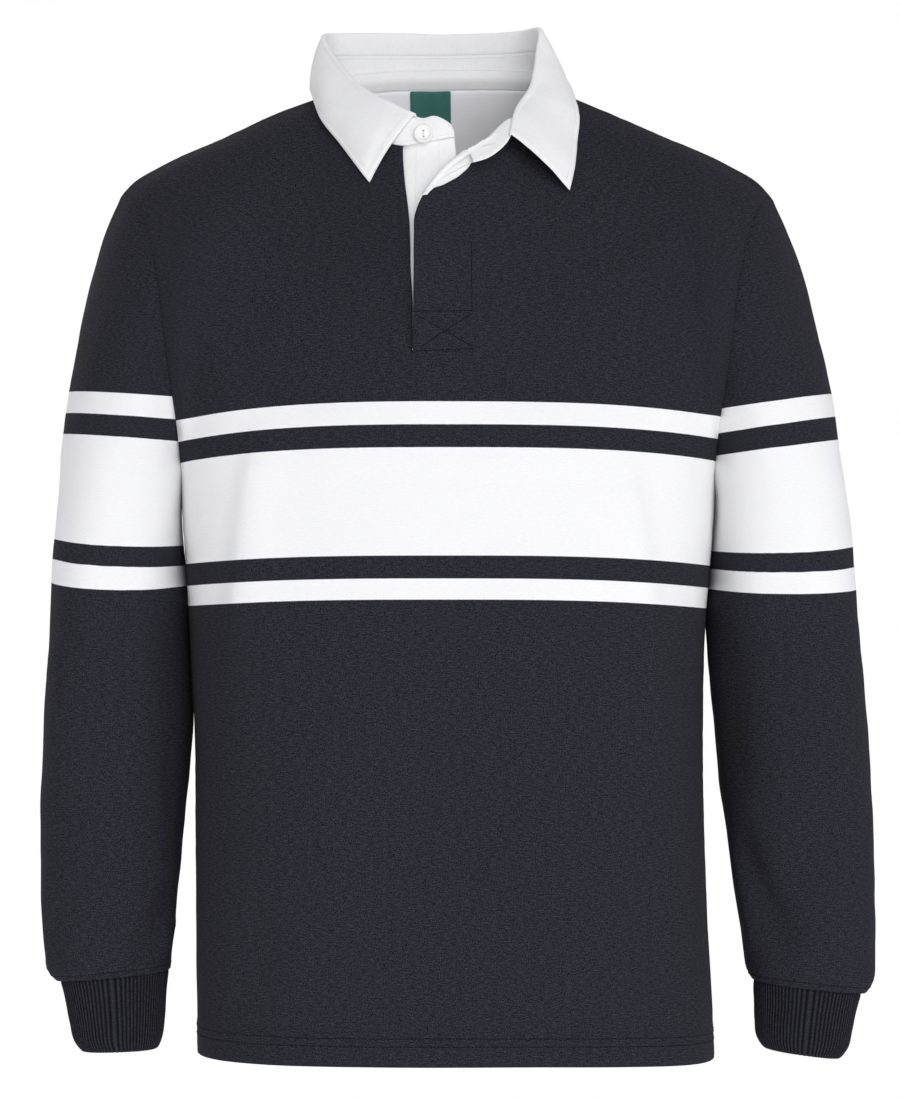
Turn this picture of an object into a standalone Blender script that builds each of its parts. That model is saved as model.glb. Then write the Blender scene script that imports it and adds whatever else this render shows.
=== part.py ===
"""A long-sleeved rugby shirt, filled out and hollow, as it hangs on a wearer.

Every table and size below is in millimetres; MM turns them into metres where a mesh is made.
+X is the wearer's left, +Y the back, +Z up. The origin is the middle of the neck base.
"""

import math

import bmesh
import bpy
import numpy as np
from mathutils import Vector

MM = 0.001
UPRIGHT = (0, 0, 1)   # keeps the height of a point
LEVEL = (1, 1, 0)     # keeps its place on the ground

# Cloth walls and the gaps between sewn pieces
JERSEY = 1.7          # body and sleeves, heavy knitted cotton
TWILL = 1.4           # collar and placket pieces
TAPE = 1.0            # tape, half moon and label
SEAM_GAP = 0.3

# Where the panels' rows and columns lie
HEM_Z = -729.0        # at the centre front
UNDERARM_Z = -298.0   # the course that meets the underarm, at the centre front
SIDE_Y = -12.0        # the side seams
NECK_COLUMN = 0.37    # share of a panel's half width under the high point of the shoulder
SLIT_RIGHT_SHARE = -0.128
SLIT_LEFT_SHARE = -0.068
RELAX_POINTS = 81     # how finely, and how many times over, the corners of a top edge are rounded off
RELAX_TURNS = 90
CORNER_DECAY = 9      # how soon below the top edge its sharp corners are lost
LOWER_ROWS = 11
UPPER_ROWS = 12
UPPER_CLUSTER = 1.35  # draws the upper rows together towards the neck
COURSE_POINTS = 361
SHOULDER_COLUMNS = 8
NECK_COLUMNS = 12     # across the back neck
FRONT_NECK_RIGHT = 5
FRONT_NECK_LEFT = 7

# The placket opening in the front
SLIT_FOOT_Z = -203.0
PLACKET_WIDTH = 42.0
SLIT_SHUT_Z = -290.0  # below here the front no longer gives way to the opening
SLIT_OPEN_Z = -220.0

# Ribbed cuffs
RIBS = 62
RIB_RISE = 0.45

# Button on the stand's button end
BUTTON_PLACE = (-18.4, -79.3, -37.4)
BUTTON_FACE = (0, -0.965, 0.26)
BUTTON_SIDES = 24
BUTTON_HOLE = 0.85    # radius of its four holes
BUTTON_HOLE_RING = 1.9
DRILL_SIDES = 10
DRILL_DEPTH = 8.0
BUTTON_PROFILE = [(0, 0.0), (5.6, 0.0), (7.3, 0.9), (7.3, 1.8), (6.6, 2.6), (5.7, 2.6), (4.7, 1.7), (0, 1.7)]

# Inside the back neck
HALF_MOON_DROP = 95.0
HALF_MOON_LEAST = 16.0
HALF_MOON_ROWS = 8
HALF_MOON_POWER = 0.6 # how square its lower edge is
TAPE_REACH = 8.0      # above and below the neck seam
LABEL_RIGHT = -30.0
LABEL_LEFT = 2.0
LABEL_DROP = 46.0
LABEL_ROWS = 6
LABEL_COLUMNS = 4

# Points inside the shirt that its pieces face away from
BODY_CORE = (0, -10, -30)
NECK_CORE = (-8, -5, 0)
STAND_CORE = (-8, 0, 0)

# How far inside the outside of the back panel these pieces lie
MOON_BEHIND = 2.9
TAPE_BEHIND = 2.2
TAPE_BEHIND_SEAM = 2.8
LABEL_BEHIND = 4.4


def table(columns, rows):
    """Named columns of a short table, as arrays."""
    return dict(zip(columns.split(), np.array(rows, float).T))


# Body, from the hem up: half widths on the wearer's right and left, the depths of front and back, and how much
# lower the course lies at each side seam
BODY = table("z right left front back bow_front bow_back sag_right sag_left", [
    (-750, 190.5, 203.5, -130, 98, 2.9, 2.6, 0, 5),
    (-700, 190.8, 201.6, -131, 100, 2.9, 2.6, 1, 5),
    (-640, 191.6, 198.6, -133, 103, 2.9, 2.6, 3, 6),
    (-573, 192.6, 196.0, -136, 101, 2.9, 2.6, 5, 7),
    (-476, 193.6, 194.6, -139, 99, 2.9, 2.6, 7, 7),
    (-400, 197.6, 196.4, -140, 102, 2.8, 2.6, 7, 7),
    (-350, 200.4, 200.2, -140, 105, 2.8, 2.6, 7, 7),
    (-298, 203.8, 203.8, -139, 108, 2.7, 2.6, 7, 7),
    (-280, 204.6, 204.6, -138, 109, 2.7, 2.6, 7, 7),
])

# Shoulder seams, from the neck to the point of the shoulder
SHOULDER_RIGHT = table("along x y z", [
    (0.00, -92, 12, 3),
    (0.22, -130, 12, -10.8),
    (0.50, -171, 10, -30.2),
    (0.80, -220, 8, -52.2),
    (0.94, -243, 6, -66.3),
    (1.00, -250, 5, -74),
])
SHOULDER_LEFT = table("along x y z", [
    (0.00, 76, 13, 9),
    (0.26, 125, 12, -11.8),
    (0.50, 165, 10, -29.6),
    (0.80, 215, 8, -51.6),
    (0.94, 240, 6, -67),
    (1.00, 248, 5, -76),
])

# Armhole seams on the wearer's right, from the underarm up to the shoulder; the left mirrors them
ARMHOLE_FRONT = table("x y z", [
    (-203.8, -12, -305),
    (-201.5, -50, -290),
    (-204, -77, -252),
    (-210.5, -88, -205),
    (-217.5, -79, -150),
    (-227, -51, -109),
    (-240, -22, -83),
    (-250, 5, -74),
])
ARMHOLE_BACK = table("x y z", [
    (-203.8, -12, -305),
    (-204, 27, -294),
    (-208, 62, -260),
    (-216, 80, -210),
    (-223, 79, -155),
    (-232, 60, -110),
    (-243, 33, -84),
    (-250, 5, -74),
])

# How a column of the body climbs from the underarm course to the shoulder or the neckline:
# 'side' is its share of the half width; it leaves along (out, lean, rise) and arrives from (in, back, drop)
FRONT_CLIMB = table("side out lean rise in_x fall_y fall_z", [
    (0.00, 0, -5, 90, 0, -25, -44),
    (0.12, 0, -5, 90, 0, -28, -42),
    (0.37, 0, -5, 105, -3, -58, -27),
    (0.60, 0, -6, 115, 0, -74, -14),
    (0.76, 0, -16, 90, 2, -76, -12),
    (0.90, 1, -54, 42, 4, -66, -16),
    (1.00, 2, -76, 16, 8, -56, -20),
])
BACK_CLIMB = table("side out lean rise in_x fall_y fall_z", [
    (0.00, 0, 4, 120, 0, 40, -50),
    (0.20, 0, 4, 120, 0, 42, -46),
    (0.37, 0, 4, 120, -2, 62, -24),
    (0.60, 0, 5, 115, 0, 74, -14),
    (0.76, 0, 14, 90, 2, 74, -12),
    (0.90, 1, 50, 42, 4, 64, -16),
    (1.00, 2, 78, 16, 8, 54, -20),
])

# Shares of a fold's run over which it comes in at its top and fades at its foot
FOLD_RISE = 0.25
FOLD_FADE = 0.35

# Folds of the cloth: the line each one follows, its half width, and its height (a trough is below zero)
BODY_FOLDS = table("side x_top z_top x_foot z_foot width height", [
    (-1, -137, -255, -160, -440, 17, 4.5),
    (-1, 130, -255, 163, -520, 17, 4.0),
    (-1, -176, -330, -180, -600, 15, -2.5),
    (-1, 180, -350, 184, -560, 14, -2.5),
    (1, -118, -240, -140, -500, 20, 4.5),
    (1, 112, -260, 128, -540, 20, 4.0),
    (1, 8, -120, -6, -420, 34, -4.0),
])

# Placket opening: the two free edges of the front, and how far its left edge stands proud of the right
SLIT = table("z right left lift", [
    (-215, -30.5, -20.5, 0),
    (-203, -26.6, -25.2, 0),
    (-190, -26.6, -25.2, 1.2),
    (-165, -27.0, -24.6, 2.2),
    (-141, -28.4, -24.5, 3.0),
    (-115, -29.0, -24.5, 3.8),
    (-102, -29.8, -23.9, 4.4),
    (-90, -31.2, -19.5, 5.5),
    (-76, -33.0, -9.4, 7.0),
    (-66, -33.8, -1.6, 8.0),
    (-54, -34.5, 12.6, 9.0),
    (-46, -34.5, 20.0, 9.0),
])
ARMHOLE_HOLD = 0.5    # share of the half width from which the panel bends to its armhole
SLIT_REACH = 0.42     # share of the half width over which the panel gives way to that opening
LIFT_DECAY = 5        # how soon below the neckline the left edge has its whole lift

# Collar stand, from its button end on the wearer's right round the back to its left end: the neck seam, its top
# edge, and how far it curls up between them where the open end turns out
STAND = table("seam_x seam_y seam_z top_x top_y top_z curl", [
    (4.6, -77.5, -39.4, 4.4, -77, -35, 0),
    (1.0, -78.0, -40.2, 0.6, -75.5, -29, 0),
    (-9.0, -78.5, -42.0, -9.6, -74.5, -23.8, 0),
    (-20.0, -78.5, -44.0, -19.6, -73.5, -25.4, 0),
    (-34.5, -77.0, -46.0, -31.0, -70, -20.6, 0),
    (-50.0, -68.0, -41.5, -44.5, -61, -15.0, 0),
    (-68.0, -51.0, -32.0, -58.5, -44, -5.5, 0),
    (-82.0, -30.0, -19.0, -71.5, -22, 7.0, 0),
    (-91.0, -8.0, -6.0, -83.0, -2, 18.5, 0),
    (-92.0, 12.0, 3.0, -90.5, 17, 28.5, 0),
    (-86.0, 32.0, 10.0, -89.0, 37, 35, 0),
    (-68.0, 50.0, 15.5, -71.0, 56, 38, 0),
    (-40.0, 60.0, 19.0, -41.0, 64, 39, 0),
    (-10.0, 63.0, 20.0, -11.0, 66.5, 39.5, 0),
    (22.0, 60.0, 20.0, 22.0, 63.5, 39.5, 0),
    (50.0, 51.0, 18.5, 50.0, 54.5, 39.5, 0),
    (69.0, 34.0, 15.0, 67.0, 36, 38, 0),
    (76.0, 13.0, 9.0, 67.8, 13, 28, 0),
    (78.0, -8.0, -5.0, 65.6, -8, 12.5, 0),
    (71.0, -32.0, -18.0, 58.6, -31, -4.5, 1),
    (57.0, -50.0, -29.0, 51.0, -52, -18.5, 5),
    (43.0, -66.0, -33.0, 45.6, -78, -40, 15),
    (28.0, -79.0, -44.0, 32.0, -89, -51, 14),
    (15.0, -90.0, -53.0, 20.0, -98, -58, 13),
])
CURL = np.array([-0.05, 0.62, 0.78])
STAND_BUTTON_END = 4      # rows of STAND before the neckline of the front begins
STAND_RIGHT_POINT = 9     # rows of the two high points of the shoulder
STAND_LEFT_POINT = 17

# Collar leaf, from its right front edge round the back to its left front edge: the line it rolls over, its free
# edge, the radius of the roll, and how far its fall bulges
LEAF = table("roll_x roll_y roll_z edge_x edge_y edge_z radius bulge", [
    (-23.8, -75.5, -22.0, -58.8, -82, -73, 1.6, 2.0),
    (-31.5, -69.5, -17.5, -62.0, -81, -69, 2.0, 2.5),
    (-42.5, -60.5, -11.0, -67.5, -76, -62, 2.5, 3.0),
    (-61.5, -38.0, 2.5, -83.0, -53, -40, 3.0, 4.0),
    (-78.5, -9.0, 21.5, -97.5, -29, -20, 3.2, 5.0),
    (-89.0, 12.0, 38.0, -105.5, 6, 3, 2.5, 3.0),
    (-94.5, 32.0, 52.0, -106.0, 34, 8, 2.4, 2.5),
    (-82.0, 52.0, 56.0, -94.0, 63, 9, 2.8, 3.0),
    (-50.0, 63.5, 57.2, -57.0, 83, 7, 3.0, 4.0),
    (-12.0, 67.5, 57.4, -12.0, 90, 5, 3.0, 4.0),
    (25.0, 64.5, 57.6, 32.0, 86, 7, 3.0, 4.0),
    (56.0, 53.5, 58.0, 70.0, 69, 11, 2.8, 4.0),
    (69.5, 34.0, 57.0, 89.0, 41, 15, 2.4, 2.0),
    (67.5, 14.0, 40.0, 95.0, 18, 9, 2.4, 2.5),
    (65.3, -5.0, 22.5, 98.0, -1, -1, 2.6, 3.5),
    (61.0, -24.0, 4.0, 100.5, -21, -18, 2.6, 5.0),
    (53.5, -42.0, -9.5, 98.5, -38, -37, 2.2, 5.0),
    (48.5, -62.0, -24.0, 96.0, -58, -58, 1.6, 3.5),
    (46.0, -78.5, -39.0, 91.5, -73, -78, 1.4, 2.0),
])

STAND_LIFT = 0.6      # how far the stand's lower edge clears the neckline
STAND_STEPS = 3
BUTTON_END_ROWS = [0, 0.5, 1.2, 2.2, 3.35]    # places of STAND where its button end has columns
LEAF_FROM_COLUMN = 4
LEAF_TO_ROW = 21
LEAF_LIFT = 0.8       # how far the leaf clears the stand
LEAF_BEND = (0, 45, 90, 135, 180)
LEAF_FALL_STEPS = 4
LEAF_SEARCH = 400     # places tried for the part of the roll that is nearest to each of the stand's columns
LEAF_NEAR = (1, 1, 0.3)

# Under-placket: how far towards the wearer's left it reaches, by height
UNDER_PLACKET = table("z left", [
    (-206, 13.5),
    (-165, 11.5),
    (-115, 9.0),
    (-72, 7.0),
    (-56, 6.0),
    (-40, 4.6),
])
UNDER_LAP = 9.0           # how much of it lies behind the front's right side
UNDER_BEHIND_RIGHT = 2.2  # from the outside of the front to the outside of the strip
UNDER_BEHIND_LEFT = 5.4
UNDER_STEPS = (0.45, 1.0)  # where its columns lie, as shares of the way from the right edge to its own left edge
UNDER_CORE = (0, 50, 0)
UNDER_TOP = (0, 0.6, -0.4)
UNDER_TOP_X = (-14.0, 4.4)

# Where the placket's neck end turns out: how wide the turned strip is, by height of the front's left edge
TURN_OUT = table("z width", [
    (-100, 1.5),
    (-88, 3.2),
    (-76, 5.5),
    (-66, 7.5),
    (-54, 8.5),
    (-46, 8.5),
])
TURN_FROM_Z = -96.0
TURN_LIFT = 1.6
TURN_CORNER = 2       # rows beside the neckline that share one facing direction
TURN_START = 0.6      # share of the first row by which it begins below the neckline
TURN_BEND = (55, 0, -55)
TURN_SHARES = (1.0, 0.55, 0.1)
FACING_FIRST = 0.03   # places of the facing's inside columns, counted in the front's own columns from its edge
FACING_LEAST = 2.15

# Sleeves below the armhole: outer and inner side, middle and half depth front to back, roundness, and how far the
# inner side of the ring rises above its middle
SLEEVE_RIGHT = table("z outer inner middle_y half_y round tilt", [
    (-400, -304.8, -198.5, -8, 66, 2.4, 0),
    (-440, -306.6, -196.5, -9, 60, 2.4, 0),
    (-476, -308.6, -194.6, -10, 56, 2.4, 0),
    (-513, -310.4, -197.6, -11, 51, 2.4, 0),
    (-565, -312.0, -202.4, -12, 46, 2.4, 0),
    (-600, -312.4, -205.8, -13, 43, 2.4, 1),
    (-633, -310.0, -208.8, -14, 40, 2.4, 2),
    (-655, -308.2, -211.0, -15, 38, 2.4, 3),
    (-667, -305.6, -212.4, -15, 37, 2.4, 3.5),
    (-672.5, -300.6, -212.4, -15, 35, 2.4, 4),
])
SLEEVE_LEFT = table("z outer inner middle_y half_y round tilt", [
    (-400, 313.0, 197.5, -8, 66, 2.4, 0),
    (-440, 317.0, 200.6, -9, 60, 2.4, 0),
    (-476, 319.6, 203.2, -10, 56, 2.4, 0),
    (-513, 322.6, 206.4, -11, 51, 2.4, 0),
    (-565, 325.6, 213.8, -12, 46, 2.4, 0),
    (-600, 326.4, 219.0, -13, 43, 2.4, 1),
    (-633, 327.2, 222.8, -14, 40, 2.4, 3),
    (-658, 326.6, 225.6, -15, 38, 2.4, 4),
    (-674, 325.0, 228.8, -15, 37, 2.4, 4.5),
    (-681, 320.4, 232.2, -15, 35, 2.4, 5),
])
# Head of a sleeve: how each column leaves the armhole and arrives at the first full ring, 'along' the armhole
# from the underarm (0) to the shoulder (1)
SLEEVE_HEAD = table("along out fore down arrive_out arrive_fore arrive_up", [
    (0.00, 1, 0, 24, 1, 0, 36),
    (0.20, 14, 6, 40, 2, 2, 44),
    (0.40, 30, 12, 44, 2, 6, 62),
    (0.60, 45, 18, 46, 0, 10, 84),
    (0.80, 50, 16, 54, -2, 8, 102),
    (1.00, 36, 0, 61, -5, 0, 110),
])
HEAD_ROWS = 8
SLEEVE_ROWS = 12

# Folds of the sleeves, by angle round the sleeve: 0 at its inner side, 90 at its front, 180 at its outer side
SLEEVE_FOLDS = table("side z_top angle_top z_foot angle_foot width height", [
    (-1, -380, 40, -610, 30, 26, -5.0),
    (-1, -600, 28, -668, 75, 20, -4.0),
    (-1, -420, 150, -560, 120, 24, 2.5),
    (-1, -420, 230, -640, 250, 26, -4.0),
    (-1, -560, 320, -665, 260, 22, -4.0),
    (1, -400, 52, -560, 26, 26, -5.0),
    (1, -560, 34, -668, 84, 20, -4.5),
    (1, -430, 140, -560, 125, 24, 2.5),
    (1, -420, 225, -650, 245, 26, -4.0),
    (1, -570, 310, -670, 255, 22, -4.0),
])

# Cuffs, from the sleeve down
CUFF_RIGHT = table("z outer inner middle_y half_y round tilt", [
    (-672.5, -296.0, -214.2, -15, 32, 2.5, 4),
    (-690, -291.8, -216.0, -16, 30.5, 2.5, 3),
    (-708, -288.4, -217.4, -17, 29, 2.5, 2),
    (-722, -285.0, -219.2, -18, 27.5, 2.5, 1),
    (-729, -280.2, -221.6, -18, 25.5, 2.5, 1),
])
CUFF_LEFT = table("z outer inner middle_y half_y round tilt", [
    (-681, 315.6, 234.6, -15, 32, 2.5, 5),
    (-697, 311.4, 235.4, -16, 30.5, 2.5, 4),
    (-712, 308.2, 235.4, -17, 29, 2.5, 4),
    (-725, 304.6, 236.8, -18, 27.5, 2.5, 4),
    (-731.5, 300.0, 240.6, -18, 25.5, 2.5, 4),
])


# Curves

def smooth(keys, values, places):
    """A curve through the values at the keys, read at other places."""
    keys = np.asarray(keys, float)
    values = np.asarray(values, float)
    flat = values.reshape(len(keys), -1)
    places = np.clip(np.asarray(places, float), keys[0], keys[-1])
    steps = np.diff(keys)
    slopes = np.diff(flat, axis=0) / steps[:, None]
    share = (steps[:-1] / (steps[:-1] + steps[1:]))[:, None]
    middle = slopes[:-1] * (1 - share) + slopes[1:] * share
    tangents = np.vstack([slopes[:1], middle, slopes[-1:]])
    left = np.clip(np.searchsorted(keys, places.ravel(), side="right") - 1, 0, len(keys) - 2)
    step = steps[left][:, None]
    f = (places.ravel()[:, None] - keys[left][:, None]) / step
    out = (flat[left] * (1 + 2 * f) * (1 - f) ** 2 + flat[left + 1] * f * f * (3 - 2 * f)
           + step * (tangents[left] * f * (1 - f) ** 2 - tangents[left + 1] * f * f * (1 - f)))
    return out.reshape(places.shape + values.shape[1:])


def read(rows, key, column, places):
    """One column of a table, read smoothly at other values of its key."""
    order = np.argsort(rows[key])
    return smooth(rows[key][order], rows[column][order], places)


def points_of(rows, names="x y z", chosen=slice(None)):
    return np.stack([rows[name][chosen] for name in names.split()], axis=-1)


def lengths(points):
    """Distance along a line of points, from 0 to 1."""
    along = np.concatenate([[0], np.cumsum(np.linalg.norm(np.diff(points, axis=0), axis=1))])
    return along / along[-1]


def curve(points, places):
    """The smooth curve through points, read by share of its length."""
    return smooth(lengths(points), points, places)


def unit(vectors):
    return vectors / np.maximum(np.linalg.norm(vectors, axis=-1, keepdims=True), 1e-9)


def ease(x):
    """0 to 1 with level ends."""
    x = np.clip(x, 0, 1)
    return x * x * (3 - 2 * x)


def fold_height(across, along, width, height):
    """A soft ridge or trough: full in the middle of its run and gone at both ends."""
    run = ease(along / FOLD_RISE) * ease((1 - along) / FOLD_FADE)
    return height * np.exp(-(across / width) ** 2) * run


# Walls

NAVY = (0.022, 0.023, 0.035)
WHITE = (0.86, 0.86, 0.87)
GREY = (0.62, 0.61, 0.68)
GREEN = (0.03, 0.12, 0.09)
CLOTH_ROUGHNESS = 0.85
SATIN_ROUGHNESS = 0.5
BUTTON_ROUGHNESS = 0.25
SHARP = math.radians(50)


def surface_normals(grid, core, ring=False):
    """Unit normals of a grid of points, facing away from the core."""
    if ring:
        across = np.roll(grid, -1, axis=1) - np.roll(grid, 1, axis=1)
    else:
        across = np.gradient(grid, axis=1)
    normals = unit(np.cross(across, np.gradient(grid, axis=0)))
    away = np.sum(normals * (grid - core))
    return normals if away > 0 else -normals


def seam_normals(edge, inside_a, inside_b, out_a, out_b):
    """The direction that parts two walls which meet along an edge."""
    along = unit(np.gradient(edge, axis=0))

    def square_to(vectors):
        return unit(vectors - np.sum(vectors * along, axis=1, keepdims=True) * along)

    into_a, into_b = square_to(inside_a - edge), square_to(inside_b - edge)
    face_a = square_to(out_a)
    face_b = square_to(out_b)
    valley = np.sign(np.sum(face_a * into_b, axis=1, keepdims=True) + 1e-6)
    return unit(face_a + face_b + valley * (into_a + into_b))


def pulled(edge, inside, normal):
    """An edge moved off its seam by half the gap, square to the seam's own normals."""
    along = unit(np.gradient(edge, axis=0))
    off = unit(np.cross(normal, along))
    side = np.sign(np.sum(off * (inside - edge), axis=1, keepdims=True))
    return edge + off * side * SEAM_GAP / 2


def wall(name, outer, inner, colour, ring=False, kept=None, roughness=CLOTH_ROUGHNESS):
    """One closed body between two grids of points, without the cells that aren't kept."""
    rows, columns = outer.shape[:2]
    cells = columns if ring else columns - 1
    if kept is None:
        kept = np.ones((rows - 1, cells), bool)
    faces = []
    for i in range(rows - 1):
        for j in range(cells):
            if kept[i, j]:
                k = (j + 1) % columns
                a, b, c, d = (i * columns + j, i * columns + k, (i + 1) * columns + k, (i + 1) * columns + j)
                faces += [(a, b, c), (a, c, d)]
    count = rows * columns
    edges = {(f[k], f[(k + 1) % 3]) for f in faces for k in range(3)}
    under = [(c + count, b + count, a + count) for a, b, c in faces]
    rim = []
    for a, b in sorted(edges):
        if (b, a) not in edges:
            rim += [(b, a, a + count), (b, a + count, b + count)]
    points = np.concatenate([outer.reshape(-1, 3), inner.reshape(-1, 3)])
    return body(name, points, faces + under + rim, colour, roughness)


def tube(name, outer, inner, colour):
    """One closed tube whose outside and inside may have different rows, but the same columns."""
    columns = outer.shape[1]
    first_inner = len(outer) * columns
    last_outer, last_inner = first_inner - columns, first_inner + (len(inner) - 1) * columns
    faces = []
    for j in range(columns):
        k = (j + 1) % columns
        for i in range(len(outer) - 1):
            a, b, c, d = i * columns + j, i * columns + k, (i + 1) * columns + k, (i + 1) * columns + j
            faces += [(a, b, c), (a, c, d)]
        for i in range(len(inner) - 1):
            a, b, c, d = (first_inner + n for n in
                          (i * columns + j, i * columns + k, (i + 1) * columns + k, (i + 1) * columns + j))
            faces += [(c, b, a), (d, c, a)]
        faces += [(k, j, first_inner + j), (k, first_inner + j, first_inner + k)]
        faces += [(last_outer + j, last_outer + k, last_inner + k), (last_outer + j, last_inner + k, last_inner + j)]
    return body(name, np.concatenate([outer.reshape(-1, 3), inner.reshape(-1, 3)]), faces, colour)


def body(name, points, faces, colour, roughness=CLOTH_ROUGHNESS):
    """An object from points in millimetres and triangles, with its faces pointing outwards."""
    faces = np.array(faces)
    used = np.unique(faces)
    renumber = np.zeros(len(points), int)
    renumber[used] = np.arange(len(used))
    points, faces = np.asarray(points)[used], renumber[faces]
    a, b, c = (points[faces[:, k]] for k in range(3))
    if np.sum(a * np.cross(b, c)) < 0:
        faces = faces[:, ::-1]
    mesh = bpy.data.meshes.new(name)
    mesh.from_pydata((points * MM).tolist(), [], faces.tolist())
    mesh.shade_smooth()
    mesh.set_sharp_from_angle(angle=SHARP)
    thing = bpy.data.objects.new(name, mesh)
    bpy.context.collection.objects.link(thing)
    thing.data.materials.append(cloth_material(name, colour, roughness))
    return thing


def cloth_material(name, colour, roughness):
    material = bpy.data.materials.new(name)
    material.use_nodes = True
    shader = material.node_tree.nodes["Principled BSDF"]
    shader.inputs["Base Color"].default_value = (*colour, 1)
    shader.inputs["Roughness"].default_value = roughness
    shader.inputs["Metallic"].default_value = 0.0
    return material


# Body panels

def course(panel, z):
    """One knitted course of the lower body, from the wearer's right side seam to the left; panel -1 is the front."""
    turn = np.linspace(-math.pi / 2, math.pi / 2, COURSE_POINTS)
    depth, bow = ("front", "bow_front") if panel < 0 else ("back", "bow_back")
    power = 2 / read(BODY, "z", bow, z)
    half = np.where(turn < 0, read(BODY, "z", "right", z), read(BODY, "z", "left", z))
    x = np.sign(turn) * half * np.abs(np.sin(turn)) ** power
    y = SIDE_Y + (read(BODY, "z", depth, z) - SIDE_Y) * np.abs(np.cos(turn)) ** power
    sag = np.where(turn < 0, read(BODY, "z", "sag_right", z), read(BODY, "z", "sag_left", z))
    drop = sag * np.abs(x / half) ** 3
    return np.stack([x, y, z - drop], axis=-1)


def across_course(line, shares):
    """Points of a course by share of the way from its middle, 0, to its side seams, -1 and 1."""
    middle = len(line) // 2
    right = curve(line[middle::-1], np.maximum(-shares, 0))
    left = curve(line[middle:], np.maximum(shares, 0))
    return np.where((shares < 0)[:, None], right, left)


def top_edge(panel, shares, on_right):
    """Top of a panel: shoulder seams and neckline. on_right says which side of the slit a column is on."""
    out = np.empty((len(shares), 3))
    seam = points_of(STAND, "seam_x seam_y seam_z")
    for k, share in enumerate(shares):
        if abs(share) >= NECK_COLUMN:
            shoulder = SHOULDER_RIGHT if share < 0 else SHOULDER_LEFT
            place = (abs(share) - NECK_COLUMN) / (1 - NECK_COLUMN)
            out[k] = [read(shoulder, "along", axis, place) for axis in "xyz"]
        elif panel > 0:
            neck = seam[STAND_RIGHT_POINT:STAND_LEFT_POINT + 1]
            out[k] = curve(neck, (share + NECK_COLUMN) / (2 * NECK_COLUMN))
        elif on_right[k]:
            neck = seam[STAND_BUTTON_END:STAND_RIGHT_POINT + 1]
            out[k] = curve(neck, (SLIT_RIGHT_SHARE - share) / (SLIT_RIGHT_SHARE + NECK_COLUMN))
        else:
            neck = seam[STAND_LEFT_POINT:]
            out[k] = curve(neck, (NECK_COLUMN - share) / (NECK_COLUMN - SLIT_LEFT_SHARE))
    return out


def relaxed_top(panel, shares, on_right):
    """The top edge with its corners at the neck rounded off, which is what the cloth lower down follows."""
    out = np.empty((len(shares), 3))
    for part in ((on_right, ~on_right) if panel < 0 else (np.ones(len(shares), bool),)):
        ends = shares[part].min(), shares[part].max()
        dense = np.linspace(*ends, RELAX_POINTS)
        flag = np.full(RELAX_POINTS, bool(on_right[part][0]))
        line = top_edge(panel, dense, flag)
        for _ in range(RELAX_TURNS):
            line[1:-1] = (line[:-2] + 2 * line[1:-1] + line[2:]) / 4
        out[part] = smooth(dense, line, shares[part])
    return out


def armhole(panel, side, places):
    """The armhole seam, from the underarm (0) to the shoulder point (1)."""
    rows = points_of(ARMHOLE_FRONT if panel < 0 else ARMHOLE_BACK)
    if side > 0:
        rows = rows * [-1, 1, 1]
        shoulder = points_of(SHOULDER_LEFT)[-1]
        rows[-2] += (shoulder - rows[-1]) / 2
        rows[-1] = shoulder
    return curve(rows, places)


def upper_panel(panel, shares, places, on_right):
    """A panel above the underarm course: columns climb to the shoulder seams, the neckline or the armholes."""
    foot = across_course(course(panel, UNDERARM_Z), shares)
    edge = top_edge(panel, shares, on_right)
    top = relaxed_top(panel, shares, on_right)
    climb = FRONT_CLIMB if panel < 0 else BACK_CLIMB
    side = np.abs(shares)
    sign = np.sign(shares)
    leave = np.stack([read(climb, "side", "out", side) * sign, read(climb, "side", "lean", side),
                      read(climb, "side", "rise", side)], axis=-1)
    arrive = np.stack([-read(climb, "side", "in_x", side) * sign, read(climb, "side", "fall_y", side),
                       read(climb, "side", "fall_z", side)], axis=-1)
    t = places[:, None, None]
    grid = ((1 - t) ** 3 * foot + 3 * t * (1 - t) ** 2 * (foot + leave)
            + 3 * t * t * (1 - t) * (top + arrive) + t ** 3 * top + t ** CORNER_DECAY * (edge - top))
    for end in (-1, 1):
        column = int(np.argmin(np.abs(shares - end)))
        miss = armhole(panel, end, places) - grid[:, column]
        hold = ease((shares * end - ARMHOLE_HOLD) / (1 - ARMHOLE_HOLD))
        grid = grid + miss[:, None] * hold[None, :, None]
    if panel < 0:
        grid = open_slit(grid, shares, on_right, 1 - places ** LIFT_DECAY)
    return grid


def open_slit(grid, shares, on_right, lifted):
    """Moves the columns beside the placket opening to its two free edges."""
    out = grid.copy()
    for right in (True, False):
        edge_share = SLIT_RIGHT_SHARE if right else SLIT_LEFT_SHARE
        column = int(np.flatnonzero(shares == edge_share)[0])
        edge = grid[:, column]
        wanted = read(SLIT, "z", "right" if right else "left", edge[:, 2])
        lift = 0 if right else read(SLIT, "z", "lift", edge[:, 2]) * lifted
        above = ease((edge[:, 2] - SLIT_SHUT_Z) / (SLIT_OPEN_Z - SLIT_SHUT_Z))
        miss = np.stack([(wanted - edge[:, 0]) * above, -lift * above, np.zeros(len(edge))], axis=-1)
        miss[-1] = 0
        hold = np.where(on_right == right, 1 - ease(np.abs(shares - edge_share) / SLIT_REACH), 0)
        out = out + miss[:, None] * hold[None, :, None]
    return out


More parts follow.
